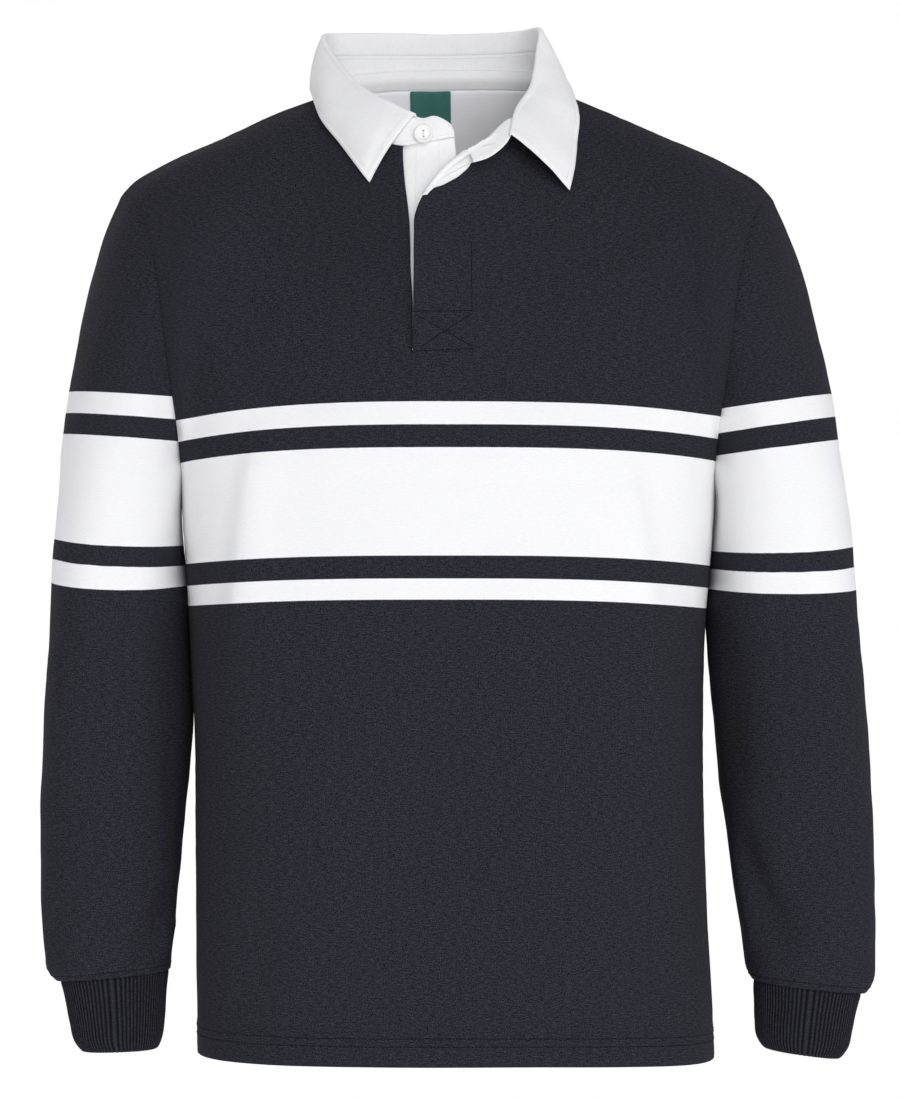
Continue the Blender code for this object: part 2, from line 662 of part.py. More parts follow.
def with_body_folds(panel, grid):
    """Raises and sinks a body panel along its folds."""
    normals = surface_normals(grid, grid * UPRIGHT)
    x, z = grid[..., 0], grid[..., 2]
    height = np.zeros(x.shape)
    for k in np.flatnonzero(BODY_FOLDS["side"] == panel):
        fold = {name: BODY_FOLDS[name][k] for name in BODY_FOLDS}
        along = (fold["z_top"] - z) / (fold["z_top"] - fold["z_foot"])
        line = fold["x_top"] + (fold["x_foot"] - fold["x_top"]) * along
        height += fold_height(x - line, along, fold["width"], fold["height"])
    return grid + normals * height[..., None]


def front_shares():
    """Columns of the front: right shoulder, right of the neck, the slit, left of the neck, left shoulder."""
    return np.concatenate([
        np.linspace(-1, -NECK_COLUMN, SHOULDER_COLUMNS, endpoint=False),
        np.linspace(-NECK_COLUMN, SLIT_RIGHT_SHARE, FRONT_NECK_RIGHT + 1),
        np.linspace(SLIT_LEFT_SHARE, NECK_COLUMN, FRONT_NECK_LEFT, endpoint=False),
        np.linspace(NECK_COLUMN, 1, SHOULDER_COLUMNS + 1),
    ])


def back_shares():
    return np.concatenate([
        np.linspace(-1, -NECK_COLUMN, SHOULDER_COLUMNS, endpoint=False),
        np.linspace(-NECK_COLUMN, NECK_COLUMN, NECK_COLUMNS, endpoint=False),
        np.linspace(NECK_COLUMN, 1, SHOULDER_COLUMNS + 1),
    ])


def upper_places():
    return 1 - (1 - np.linspace(0, 1, UPPER_ROWS + 1)) ** UPPER_CLUSTER


def panel_grid(panel, shares):
    on_right = shares <= SLIT_RIGHT_SHARE
    levels = np.linspace(HEM_Z, UNDERARM_Z, LOWER_ROWS + 1)[:-1]
    lower = np.stack([across_course(course(panel, z), shares) for z in levels])
    upper = upper_panel(panel, shares, upper_places(), on_right)
    return with_body_folds(panel, np.concatenate([lower, upper]))


# Sleeves and cuffs

def ring_points(rows, z, angles):
    """One ring of a sleeve or cuff. Angle 0 is its inner side and 90 degrees its front."""
    outer, inner, middle_y, half_y, power, tilt = (
        read(rows, "z", name, z) for name in ("outer", "inner", "middle_y", "half_y", "round", "tilt"))
    middle_x, half_x = (outer + inner) / 2, (inner - outer) / 2
    c, s = np.cos(angles), np.sin(angles)
    power = 2 / power
    x = middle_x + half_x * np.sign(c) * np.abs(c) ** power
    y = middle_y - half_y * np.sign(s) * np.abs(s) ** power
    return np.stack([x, y, z + tilt * (x - middle_x) / half_x], axis=-1)


def sleeve_grid(side, places):
    """A sleeve from its armhole to the cuff seam; places are those of the body's rows along the armhole."""
    rows = SLEEVE_RIGHT if side < 0 else SLEEVE_LEFT
    front = armhole(-1, side, places)
    back = armhole(1, side, places)
    hole = np.concatenate([front, back[-2:0:-1]])
    along = np.concatenate([places, places[-2:0:-1]])
    facing = np.concatenate([np.ones(len(places)), -np.ones(len(places) - 2)])
    angles = np.concatenate([places * math.pi, 2 * math.pi - places[-2:0:-1] * math.pi])
    first = rows["z"][0]
    ring = ring_points(rows, first, angles)

    def head(out, fore, up, sign):
        return np.stack([side * read(SLEEVE_HEAD, "along", out, along),
                         -facing * read(SLEEVE_HEAD, "along", fore, along),
                         sign * read(SLEEVE_HEAD, "along", up, along)], axis=-1)

    leave = head("out", "fore", "down", -1)
    arrive = head("arrive_out", "arrive_fore", "arrive_up", 1)
    t = np.linspace(0, 1, HEAD_ROWS + 1)[:, None, None]
    upper = ((1 - t) ** 3 * hole + 3 * t * (1 - t) ** 2 * (hole + leave)
             + 3 * t * t * (1 - t) * (ring + arrive) + t ** 3 * ring)
    levels = np.concatenate([np.linspace(first, rows["z"][-3], SLEEVE_ROWS - 2)[1:], rows["z"][-2:]])
    lower = np.stack([ring_points(rows, z, angles) for z in levels])
    return with_sleeve_folds(side, np.concatenate([upper, lower]), np.degrees(angles))


def with_sleeve_folds(side, grid, angles):
    core = grid.mean(axis=1, keepdims=True)
    normals = surface_normals(grid, core, ring=True)
    z = grid[..., 2]
    height = np.zeros(z.shape)
    for k in np.flatnonzero(SLEEVE_FOLDS["side"] == side):
        fold = {name: SLEEVE_FOLDS[name][k] for name in SLEEVE_FOLDS}
        along = (fold["z_top"] - z) / (fold["z_top"] - fold["z_foot"])
        line = fold["angle_top"] + (fold["angle_foot"] - fold["angle_top"]) * along
        turn = (angles[None, :] - line + 180) % 360 - 180
        height += fold_height(turn, along, fold["width"], fold["height"])
    return grid + normals * height[..., None]


def cuff(name, rows):
    """A tube of rib: the ribs are raised on its outside over a plain inside."""
    angles = np.linspace(0, 2 * math.pi, 2 * RIBS, endpoint=False)
    levels = rows["z"].copy()
    levels[0] -= SEAM_GAP
    plain = np.stack([ring_points(rows, z, angles) for z in levels])
    plain[0, :, 2] = ring_points(rows, rows["z"][0], angles)[:, 2] - SEAM_GAP
    normals = surface_normals(plain, plain.mean(axis=1, keepdims=True), ring=True)
    normals[0, :, 2] = normals[-1, :, 2] = 0
    normals = unit(normals)
    rise = RIB_RISE * (np.arange(2 * RIBS) % 2)
    outer = plain + normals * rise[None, :, None]
    inner = (plain - normals * JERSEY)[[0, 2, 4]]
    tube(name, outer, inner, NAVY)


def make_body_and_sleeves():
    places = upper_places()
    shares = {-1: front_shares(), 1: back_shares()}
    grids = {panel: panel_grid(panel, shares[panel]) for panel in (-1, 1)}
    sleeves = {side: sleeve_grid(side, places) for side in (-1, 1)}

    # The panels share their seams, point for point
    base = LOWER_ROWS
    for side, column in ((-1, 0), (1, -1)):
        shared = (grids[-1][:base + 1, column] + grids[1][:base + 1, column]) / 2
        for panel in (-1, 1):
            grids[panel][:base + 1, column] = shared
            grids[panel][base:, column] = armhole(panel, side, places)
        count = SHOULDER_COLUMNS + 1
        strip = slice(0, count) if side < 0 else slice(-count, None)
        shared = (grids[-1][-1, strip] + grids[1][-1, strip]) / 2
        for panel in (-1, 1):
            grids[panel][-1, strip] = shared

    core = {panel: grids[panel] * UPRIGHT + BODY_CORE for panel in (-1, 1)}
    normals = {panel: surface_normals(grids[panel], core[panel]) for panel in (-1, 1)}
    slit_cell = SHOULDER_COLUMNS + FRONT_NECK_RIGHT
    foot = int(np.flatnonzero(grids[-1][:, slit_cell, 2] > SLIT_FOOT_Z)[0])
    for half in (slice(0, slit_cell + 1), slice(slit_cell + 1, None)):
        normals[-1][foot:, half] = surface_normals(grids[-1][:, half], core[-1][:, half])[foot:]
    tube = {side: surface_normals(sleeves[side], sleeves[side].mean(axis=1, keepdims=True), ring=True)
            for side in (-1, 1)}
    outer = {panel: grids[panel].copy() for panel in (-1, 1)}

    for side, column, beside in ((-1, 0, 1), (1, -1, -2)):
        # Side seams
        seam = slice(0, base + 1)
        shared = seam_normals(grids[-1][seam, column], grids[-1][seam, beside], grids[1][seam, beside],
                              normals[-1][seam, column], normals[1][seam, column])
        for panel in (-1, 1):
            normals[panel][seam, column] = shared
            outer[panel][seam, column] = pulled(grids[panel][seam, column], grids[panel][seam, beside], shared)
        # Shoulder seams
        count = SHOULDER_COLUMNS + 1
        strip = slice(0, count) if side < 0 else slice(-count, None)
        shared = seam_normals(grids[-1][-1, strip], grids[-1][-2, strip], grids[1][-2, strip],
                              normals[-1][-1, strip], normals[1][-1, strip])
        for panel in (-1, 1):
            normals[panel][-1, strip] = shared
            outer[panel][-1, strip] = pulled(grids[panel][-1, strip], grids[panel][-2, strip], shared)
        # Armhole: one loop, up the front and down the back
        turn = np.concatenate([grids[-1][base:, column], grids[1][-2:base:-1, column]])
        into_body = np.concatenate([grids[-1][base:, beside], grids[1][-2:base:-1, beside]])
        into_body[0] = grids[-1][base - 1, column]
        into_body[UPPER_ROWS] = grids[-1][-1, beside]
        face = np.concatenate([normals[-1][base:, column], normals[1][-2:base:-1, column]])
        loop = np.concatenate([turn[-1:], turn, turn[:1]])
        ends = [np.concatenate([a[-1:], a, a[:1]]) for a in (into_body, sleeves[side][1], face, tube[side][0])]
        shared = seam_normals(loop, *ends)[1:-1]
        body_edge = pulled(loop, ends[0], np.concatenate([shared[-1:], shared, shared[:1]]))[1:-1]
        sleeve_edge = pulled(loop, ends[1], np.concatenate([shared[-1:], shared, shared[:1]]))[1:-1]
        step = body_edge - turn
        outer[-1][base:, column] += step[:UPPER_ROWS + 1]
        outer[1][base, column] += step[0]
        outer[1][base + 1:, column] += step[:UPPER_ROWS - 1:-1]
        normals[-1][base:, column] = shared[:UPPER_ROWS + 1]
        normals[1][base, column] = shared[0]
        normals[1][base + 1:, column] = shared[:UPPER_ROWS - 1:-1]
        tube[side][0] = shared
        sleeves[side][0] = sleeve_edge

    kept = np.ones((LOWER_ROWS + UPPER_ROWS, len(shares[-1]) - 1), bool)
    kept[foot:, slit_cell] = False
    wall("front", outer[-1], outer[-1] - normals[-1] * JERSEY, NAVY, kept=kept)
    wall("back", outer[1], outer[1] - normals[1] * JERSEY, NAVY)

    for side, name in ((-1, "right"), (1, "left")):
        end = tube[side][-1].copy()
        end[:, 2] = 0
        tube[side][-1] = unit(end)
        inner = sleeves[side] - tube[side] * JERSEY
        inner[-1, :, 2] = sleeves[side][-1, :, 2]
        wall(f"sleeve_{name}", sleeves[side], inner, NAVY, ring=True)
        cuff(f"cuff_{name}", CUFF_RIGHT if side < 0 else CUFF_LEFT)
    make_placket_facing(grids[-1], normals[-1], foot, slit_cell + 1)
    make_under_placket(grids[-1], normals[-1], foot, slit_cell)
    make_back_neck(grids[1], normals[1])


# Collar

def stand_stations():
    """Places along the stand: its button end, then the body's own neckline columns."""
    seam = points_of(STAND, "seam_x seam_y seam_z")
    rows = np.arange(len(seam), dtype=float)

    def spread(first, last, count):
        part = lengths(seam[first:last + 1])
        return np.interp(np.linspace(0, 1, count + 1), part, rows[first:last + 1])

    return np.concatenate([
        BUTTON_END_ROWS,
        spread(STAND_BUTTON_END, STAND_RIGHT_POINT, FRONT_NECK_RIGHT)[:-1],
        spread(STAND_RIGHT_POINT, STAND_LEFT_POINT, NECK_COLUMNS)[:-1],
        spread(STAND_LEFT_POINT, len(seam) - 1, FRONT_NECK_LEFT),
    ])


def stand_grid(rows, steps):
    """The neck side of the stand, from the neck seam (0) to its top edge (1)."""
    count = np.arange(len(STAND["curl"]), dtype=float)
    seam = smooth(count, points_of(STAND, "seam_x seam_y seam_z"), rows)
    top = smooth(count, points_of(STAND, "top_x top_y top_z"), rows)
    curl = smooth(count, STAND["curl"], rows)
    f = np.linspace(0, 1, steps + 1)[:, None, None]
    rise = 4 * f * (1 - f) * curl[None, :, None] * unit(CURL)
    return seam + [0, 0, STAND_LIFT] + (top - seam - [0, 0, STAND_LIFT]) * f + rise


def leaf_grid(rows, start):
    """The face of the leaf that shows: up the neck side, over its roll and down to its free edge."""
    count = np.arange(len(LEAF["bulge"]), dtype=float)
    roll = smooth(count, points_of(LEAF, "roll_x roll_y roll_z"), rows)
    edge = smooth(count, points_of(LEAF, "edge_x edge_y edge_z"), rows)
    radius = smooth(count, LEAF["radius"], rows)[:, None]
    bulge = smooth(count, LEAF["bulge"], rows)[:, None]
    up = np.array([0, 0, 1.0])
    out = unit((edge - roll) * LEVEL)
    roll[:, 2] = np.maximum(roll[:, 2], start[:, 2] + radius[:, 0] + LEAF_LIFT)
    bend = roll + out * radius - up * radius
    lines = [start, (start + roll - up * radius) / 2]
    for angle in np.radians(LEAF_BEND):
        lines.append(bend - out * radius * math.cos(angle) + up * radius * math.sin(angle))
    last = lines[-1]
    face = unit(np.cross(np.cross(edge - last, up), edge - last))
    face = face * np.sign(np.sum(face * (out + up), axis=1, keepdims=True))
    for f in np.linspace(0, 1, LEAF_FALL_STEPS + 1)[1:]:
        lines.append(last + (edge - last) * f + face * bulge * 4 * f * (1 - f))
    return np.stack(lines)


def make_collar():
    stations = stand_stations()
    band = stand_grid(stations, STAND_STEPS)
    outward = surface_normals(band, band * UPRIGHT + STAND_CORE)
    wall("collar_stand", band, band + outward * TWILL, WHITE)

    # The leaf has a column at each of the stand's own, so that the two stay one gap apart
    last = int(np.argmin(np.abs(stations - LEAF_TO_ROW)))
    top = band[-1, LEAF_FROM_COLUMN:last + 1]
    fine = np.linspace(0, len(LEAF["bulge"]) - 1, LEAF_SEARCH)
    roll = smooth(np.arange(len(LEAF["bulge"]), dtype=float), points_of(LEAF, "roll_x roll_y roll_z"), fine)
    away = np.linalg.norm((top[:, None] - roll[None]) * LEAF_NEAR, axis=-1)
    rows = fine[np.argmin(away, axis=1)]
    rows[0], rows[-1] = fine[0], fine[-1]
    face = leaf_grid(rows, top + [0, 0, LEAF_LIFT])
    normals = surface_normals(face, face * UPRIGHT + STAND_CORE)
    fall = np.sum(normals[-2] * (face[-2] * LEVEL), axis=1).sum()
    normals = normals if fall > 0 else -normals
    away = unit((face[-1] - face[2]) * LEVEL)
    turned = np.arange(len(rows)) >= len(rows) - 1
    normals[0] = -np.where(turned[:, None], away, outward[-1, LEAF_FROM_COLUMN:last + 1])
    normals[1] = unit(normals[0] + normals[2])
    wall("collar_leaf", face, face - normals * TWILL, WHITE)


# Placket and the pieces inside the back neck

def along_line(points, distances):
    """Fractional row numbers of a line of points at given distances along it."""
    steps = np.concatenate([[0], np.cumsum(np.linalg.norm(np.diff(points, axis=0), axis=1))])
    return np.interp(distances, steps, np.arange(len(points)))


def between(rows, places):
    """Rows of points read at fractional places."""
    low = np.clip(np.floor(places).astype(int), 0, len(rows) - 2)
    f = (places - low)[:, None]
    return rows[low] * (1 - f) + rows[low + 1] * f


def make_placket_facing(front, normals, foot, column):
    """The white layer inside the left edge of the opening; its neck end wraps round the edge and lies outside."""
    panel, facing = front[foot:-1, column:].copy(), normals[foot:-1, column:].copy()
    for grid in (panel, facing):
        grid[-1] = grid[-1] * (1 - TURN_START) + grid[-2] * TURN_START
    facing = unit(facing)
    for row in range(-TURN_CORNER, 0):
        facing[row, 0] = facing[-TURN_CORNER - 1, 0]
    edge = panel[:, 0]
    tangent = unit(np.gradient(edge, axis=0))
    side = unit(np.cross(facing[:, 0], tangent))
    side *= np.sign(np.sum(side * (panel[:, 1] - edge), axis=1, keepdims=True))
    face, under = [], []
    for k in range(len(panel)):
        n = facing[k, 0]
        inner, outer = [], []
        width = float(read(TURN_OUT, "z", "width", edge[k, 2]))
        for share in TURN_SHARES:
            lift = SEAM_GAP + TURN_LIFT * share
            inner.append(edge[k] + side[k] * width * share + n * (lift + TWILL))
            outer.append(edge[k] + side[k] * width * share + n * lift)
        middle = edge[k] - n * JERSEY / 2
        near = JERSEY / 2 + SEAM_GAP
        for angle in np.radians(TURN_BEND):
            arm = -side[k] * math.cos(angle) + n * math.sin(angle)
            inner.append(middle + arm * (near + TWILL))
            outer.append(middle + arm * near)
        # Inside, it follows the panel's own columns
        last = max(along_line(panel[k], PLACKET_WIDTH), FACING_LEAST)
        places = np.array([FACING_FIRST, 1, 2, last])
        points, out = between(panel[k], places), unit(between(facing[k], places))
        face.append(inner + list(points - out * (JERSEY + SEAM_GAP + TWILL)))
        under.append(outer + list(points - out * (JERSEY + SEAM_GAP)))
    face, under = np.array(face), np.array(under)
    kept = np.ones((len(panel) - 1, face.shape[1] - 1), bool)
    kept[edge[:-1, 2] < TURN_FROM_Z, :len(TURN_SHARES) + len(TURN_BEND)] = False
    wall("placket_facing", face, under, WHITE, kept=kept)


def make_under_placket(front, normals, foot, column):
    """The white strip under the opening, carried by the front's right edge; its top edge meets the stand."""
    rows = []
    for row in range(foot - 1, len(front)):
        right_line, right_facing = front[row, column::-1], normals[row, column::-1]
        left_line = front[row, column + 1:]
        z = front[row, column, 2]
        lap = between(right_line, along_line(right_line, [UNDER_LAP]))[0]
        edge = right_line[0] - right_facing[0] * UNDER_BEHIND_RIGHT
        reach = read(UNDER_PLACKET, "z", "left", z)
        points = [lap - right_facing[0] * UNDER_BEHIND_RIGHT, edge]
        for share in UNDER_STEPS:
            x = edge[0] + (reach - edge[0]) * share
            behind = np.interp(x, left_line[:, 0], left_line[:, 1]) + UNDER_BEHIND_LEFT
            points.append([x, max(edge[1], behind), z])
        rows.append(points)
    count = np.arange(len(STAND["curl"]), dtype=float)
    places = np.interp(UNDER_TOP_X, STAND["seam_x"][5::-1], count[5::-1])
    rows[-1][2:] = smooth(count, points_of(STAND, "seam_x seam_y seam_z"), places) + UNDER_TOP
    grid = np.array(rows)
    out = surface_normals(grid, grid + UNDER_CORE)
    wall("under_placket", grid, grid - out * TWILL, WHITE)


def make_back_neck(back, normals):
    """Half moon, tape and label, made from the back panel's own points moved in."""
    columns = slice(SHOULDER_COLUMNS, SHOULDER_COLUMNS + NECK_COLUMNS + 1)
    lines = back[::-1, columns].transpose(1, 0, 2)
    facings = normals[::-1, columns].transpose(1, 0, 2)
    stand = stand_grid(stand_stations(), STAND_STEPS).transpose(1, 0, 2)[len(BUTTON_END_ROWS) + FRONT_NECK_RIGHT:]
    moon, moon_out, tape = [], [], []
    for k, (line, facing) in enumerate(zip(lines, facings)):
        deep = math.sin(math.pi * k / NECK_COLUMNS) ** HALF_MOON_POWER
        drop = HALF_MOON_LEAST + (HALF_MOON_DROP - HALF_MOON_LEAST) * deep
        places = along_line(line, np.linspace(TAPE_REACH + 2 * SEAM_GAP, drop, HALF_MOON_ROWS))
        moon.append(between(line, places))
        moon_out.append(unit(between(facing, places)))
        reach = along_line(line, [TAPE_REACH])
        lower = between(line, reach) - unit(between(facing, reach)) * TAPE_BEHIND
        upper = between(stand[k], along_line(stand[k], [TAPE_REACH]))
        inward = unit((NECK_CORE - line[0]) * LEVEL)
        tape.append([lower[0], line[0] + inward * TAPE_BEHIND_SEAM, upper[0] + inward * 2 * SEAM_GAP])
    moon, moon_out, tape = np.array(moon), unit(np.array(moon_out)), np.array(tape)
    wall("half_moon", moon - moon_out * MOON_BEHIND, moon - moon_out * (MOON_BEHIND + TAPE), GREY)
    inward = -surface_normals(tape, tape * UPRIGHT + NECK_CORE)
    wall("neck_tape", tape, tape + inward * TAPE, WHITE)

    rows = []
    for drop in np.linspace(TAPE_REACH + 2 * SEAM_GAP, TAPE_REACH + LABEL_DROP, LABEL_ROWS):
        places = [along_line(line, [drop]) for line in lines]
        course = np.array([between(line, place)[0] for line, place in zip(lines, places)])
        facing = np.array([between(facing, place)[0] for facing, place in zip(facings, places)])
        across = np.interp(np.linspace(LABEL_RIGHT, LABEL_LEFT, LABEL_COLUMNS), course[:, 0], np.arange(len(course)))
        rows.append(between(course, across) - unit(between(facing, across)) * LABEL_BEHIND)
    label = np.array(rows)
    out = surface_normals(label, label * UPRIGHT + NECK_CORE)
    wall("neck_label", label, label - out * TAPE, GREEN, roughness=SATIN_ROUGHNESS)


def make_button():
    """A turned button with a raised rim and four holes."""
    mesh = bmesh.new()
    outline = [mesh.verts.new((r * MM, 0, h * MM)) for r, h in BUTTON_PROFILE]
    edges = [mesh.edges.new(pair) for pair in zip(outline, outline[1:])]
    bmesh.ops.spin(mesh, geom=outline + edges, cent=(0, 0, 0), axis=(0, 0, 1), angle=2 * math.pi,
                   steps=BUTTON_SIDES, use_merge=True)
    bmesh.ops.remove_doubles(mesh, verts=mesh.verts, dist=1e-6)
    bmesh.ops.recalc_face_normals(mesh, faces=mesh.faces)
    data = bpy.data.meshes.new("neck_button")
    mesh.to_mesh(data)
    mesh.free()
    button = bpy.data.objects.new("neck_button", data)
    bpy.context.collection.objects.link(button)
    button.data.materials.append(cloth_material("neck_button", WHITE, BUTTON_ROUGHNESS))
    turn = Vector(BUTTON_FACE).to_track_quat("Z", "Y").to_euler()
    button.location = Vector(BUTTON_PLACE) * MM
    button.rotation_euler = turn
    for quarter in range(4):
        angle = math.radians(45 + 90 * quarter)
        bpy.ops.mesh.primitive_cylinder_add(vertices=DRILL_SIDES, radius=BUTTON_HOLE * MM, depth=DRILL_DEPTH * MM)
        drill = bpy.context.object
        drill.name = f"drill_{quarter}"
        drill.parent = button
        drill.location = (BUTTON_HOLE_RING * MM * math.cos(angle), BUTTON_HOLE_RING * MM * math.sin(angle), 0)
        drill.hide_render = True
        drill.display_type = "WIRE"
        cut = button.modifiers.new(f"hole_{quarter}", "BOOLEAN")
        cut.operation = "DIFFERENCE"
        cut.solver = "EXACT"
        cut.object = drill


def clear_scene():
    for thing in list(bpy.data.objects):
        bpy.data.objects.remove(thing, do_unlink=True)


clear_scene()
make_body_and_sleeves()
make_collar()
make_button()
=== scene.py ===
# %% [markdown]
# # Dressing a rugby shirt
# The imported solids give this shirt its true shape: sewn pieces of cloth, hollow and open at neck, hem and
# cuffs. They are a little coarse and plain. This lesson lays a finer skin of cloth over each piece, in the
# same place, and adds what makes it read as a shirt: knitted stripes, ribs, creases, seams and rows of
# stitching. It starts by loading the solids. Nothing here moves them.

import math

import bmesh
import bpy
import numpy as np
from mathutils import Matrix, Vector, noise
from mathutils.bvhtree import BVHTree


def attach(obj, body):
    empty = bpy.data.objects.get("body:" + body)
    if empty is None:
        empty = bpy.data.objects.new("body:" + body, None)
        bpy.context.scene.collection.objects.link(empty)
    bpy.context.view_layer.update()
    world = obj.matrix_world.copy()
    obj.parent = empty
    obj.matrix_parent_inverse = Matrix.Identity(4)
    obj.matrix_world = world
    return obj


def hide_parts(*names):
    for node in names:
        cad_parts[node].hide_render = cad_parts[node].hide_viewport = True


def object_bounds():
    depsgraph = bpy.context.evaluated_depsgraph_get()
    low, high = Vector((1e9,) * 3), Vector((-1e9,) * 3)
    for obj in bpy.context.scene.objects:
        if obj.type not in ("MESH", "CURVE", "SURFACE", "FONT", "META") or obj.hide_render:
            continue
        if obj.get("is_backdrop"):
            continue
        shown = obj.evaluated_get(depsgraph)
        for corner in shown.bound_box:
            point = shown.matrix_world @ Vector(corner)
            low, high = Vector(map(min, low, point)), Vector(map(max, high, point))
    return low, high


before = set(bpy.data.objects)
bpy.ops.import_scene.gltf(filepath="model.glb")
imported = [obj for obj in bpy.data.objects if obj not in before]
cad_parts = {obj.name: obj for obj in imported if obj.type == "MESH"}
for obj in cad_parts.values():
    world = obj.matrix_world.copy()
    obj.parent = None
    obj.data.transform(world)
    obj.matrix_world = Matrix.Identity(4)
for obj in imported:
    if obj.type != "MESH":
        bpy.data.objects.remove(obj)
solid_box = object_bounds()
MM = 0.001
print("solids:", sorted(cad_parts))

# %% [markdown]
# ## Camera
# A shirt is shot from far away with a long lens, so that its sides look straight and its sleeves don't
# bulge. The camera looks level along +Y, at the height of the middle of the body. Sizes in this lesson are
# in millimetres, and MM turns them into Blender's metres at the last moment.

# %% Camera
CAMERA_PLACE = (1.5, -3000, -348)
LENS = 127.87
SENSOR = 36.0


def add_object(name, data):
    """An object at the origin, linked to the scene."""
    thing = bpy.data.objects.new(name, data)
    bpy.context.collection.objects.link(thing)
    return thing


eye = bpy.data.cameras.new("camera")
eye.lens = LENS
eye.sensor_width = SENSOR
camera = add_object("camera", eye)
camera.location = Vector(CAMERA_PLACE) * MM
camera.rotation_euler = (math.pi / 2, 0, 0)
bpy.context.scene.camera = camera
print("camera", tuple(camera.location))

# %% [markdown]
# ## The pattern of the body
# Each table below is a short list of sizes with named columns, the way a cutter writes a pattern. BODY goes
# from the hem up: half widths on the wearer's right and left, depths of front and back. The shoulder and
# armhole tables are the seams. The climb tables say how a line of cloth leaves the chest and arrives at the
# shoulder.

# %% Sizes of the body
HEM_Z = -729.0
UNDERARM_Z = -298.0
SIDE_Y = -12.0
NECK_COLUMN = 0.37
SLIT_RIGHT_SHARE = -0.128
SLIT_LEFT_SHARE = -0.068
SLIT_FOOT_Z = -203.0
SLIT_SHUT_Z = -290.0
SLIT_OPEN_Z = -220.0
SLIT_REACH = 0.42
ARMHOLE_HOLD = 0.5
CORNER_DECAY = 9
LIFT_DECAY = 5
JERSEY = 1.7
TWILL = 1.4
TAPE = 1.0
SEAM_GAP = 0.3
UPRIGHT = np.array([0, 0, 1.0])
LEVEL = np.array([1.0, 1.0, 0])
FAR_IN_FRONT = -400


def table(columns, rows):
    """Named columns of a short table, as arrays."""
    return dict(zip(columns.split(), np.array(rows, float).T))


BODY = table("z right left front back bow_front bow_back sag_right sag_left", [
    (-750, 190.5, 203.5, -130, 98, 2.9, 2.6, 0, 5),
    (-700, 190.8, 201.6, -131, 100, 2.9, 2.6, 1, 5),
    (-640, 191.6, 198.6, -133, 103, 2.9, 2.6, 3, 6),
    (-573, 192.6, 196.0, -136, 101, 2.9, 2.6, 5, 7),
    (-476, 193.6, 194.6, -139, 99, 2.9, 2.6, 7, 7),
    (-400, 197.6, 196.4, -140, 102, 2.8, 2.6, 7, 7),
    (-350, 200.4, 200.2, -140, 105, 2.8, 2.6, 7, 7),
    (-298, 203.8, 203.8, -139, 108, 2.7, 2.6, 7, 7),
    (-280, 204.6, 204.6, -138, 109, 2.7, 2.6, 7, 7),
])
SHOULDER_RIGHT = table("along x y z", [
    (0.00, -92, 12, 3),
    (0.22, -130, 12, -10.8),
    (0.50, -171, 10, -30.2),
    (0.80, -220, 8, -52.2),
    (0.94, -243, 6, -66.3),
    (1.00, -250, 5, -74),
])
SHOULDER_LEFT = table("along x y z", [
    (0.00, 76, 13, 9),
    (0.26, 125, 12, -11.8),
    (0.50, 165, 10, -29.6),
    (0.80, 215, 8, -51.6),
    (0.94, 240, 6, -67),
    (1.00, 248, 5, -76),
])
ARMHOLE_FRONT = table("x y z", [
    (-203.8, -12, -305),
    (-201.5, -50, -290),
    (-204, -77, -252),
    (-210.5, -88, -205),
    (-217.5, -79, -150),
    (-227, -51, -109),
    (-240, -22, -83),
    (-250, 5, -74),
])
ARMHOLE_BACK = table("x y z", [
    (-203.8, -12, -305),
    (-204, 27, -294),
    (-208, 62, -260),
    (-216, 80, -210),
    (-223, 79, -155),
    (-232, 60, -110),
    (-243, 33, -84),
    (-250, 5, -74),
])
FRONT_CLIMB = table("side out lean rise in_x fall_y fall_z", [
    (0.00, 0, -5, 90, 0, -25, -44),
    (0.12, 0, -5, 90, 0, -28, -42),
    (0.37, 0, -5, 105, -3, -58, -27),
    (0.60, 0, -6, 115, 0, -74, -14),
    (0.76, 0, -16, 90, 2, -76, -12),
    (0.90, 1, -54, 42, 4, -66, -16),
    (1.00, 2, -76, 16, 8, -56, -20),
])
BACK_CLIMB = table("side out lean rise in_x fall_y fall_z", [
    (0.00, 0, 4, 120, 0, 40, -50),
    (0.20, 0, 4, 120, 0, 42, -46),
    (0.37, 0, 4, 120, -2, 62, -24),
    (0.60, 0, 5, 115, 0, 74, -14),
    (0.76, 0, 14, 90, 2, 74, -12),
    (0.90, 1, 50, 42, 4, 64, -16),
    (1.00, 2, 78, 16, 8, 54, -20),
])
SLIT = table("z right left lift", [
    (-215, -30.5, -20.5, 0),
    (-203, -26.6, -25.2, 0),
    (-190, -26.6, -25.2, 1.2),
    (-165, -27.0, -24.6, 2.2),
    (-141, -28.4, -24.5, 3.0),
    (-115, -29.0, -24.5, 3.8),
    (-102, -29.8, -23.9, 4.4),
    (-90, -31.2, -19.5, 5.5),
    (-76, -33.0, -9.4, 7.0),
    (-66, -33.8, -1.6, 8.0),
    (-54, -34.5, 12.6, 9.0),
    (-46, -34.5, 20.0, 9.0),
])
print("chest", round(2 * (BODY["right"][-1] + BODY["left"][-1])), "mm across front and back, laid flat more")

# %% [markdown]
# ## The pattern of collar, sleeves and cuffs
# The stand is the band that the collar folds over. It runs from its button end on the wearer's right round
# the back to its left end, which turns out because the collar is worn open. The leaf is the part that folds
# down. Sleeves and cuffs are rings, from the armhole down.

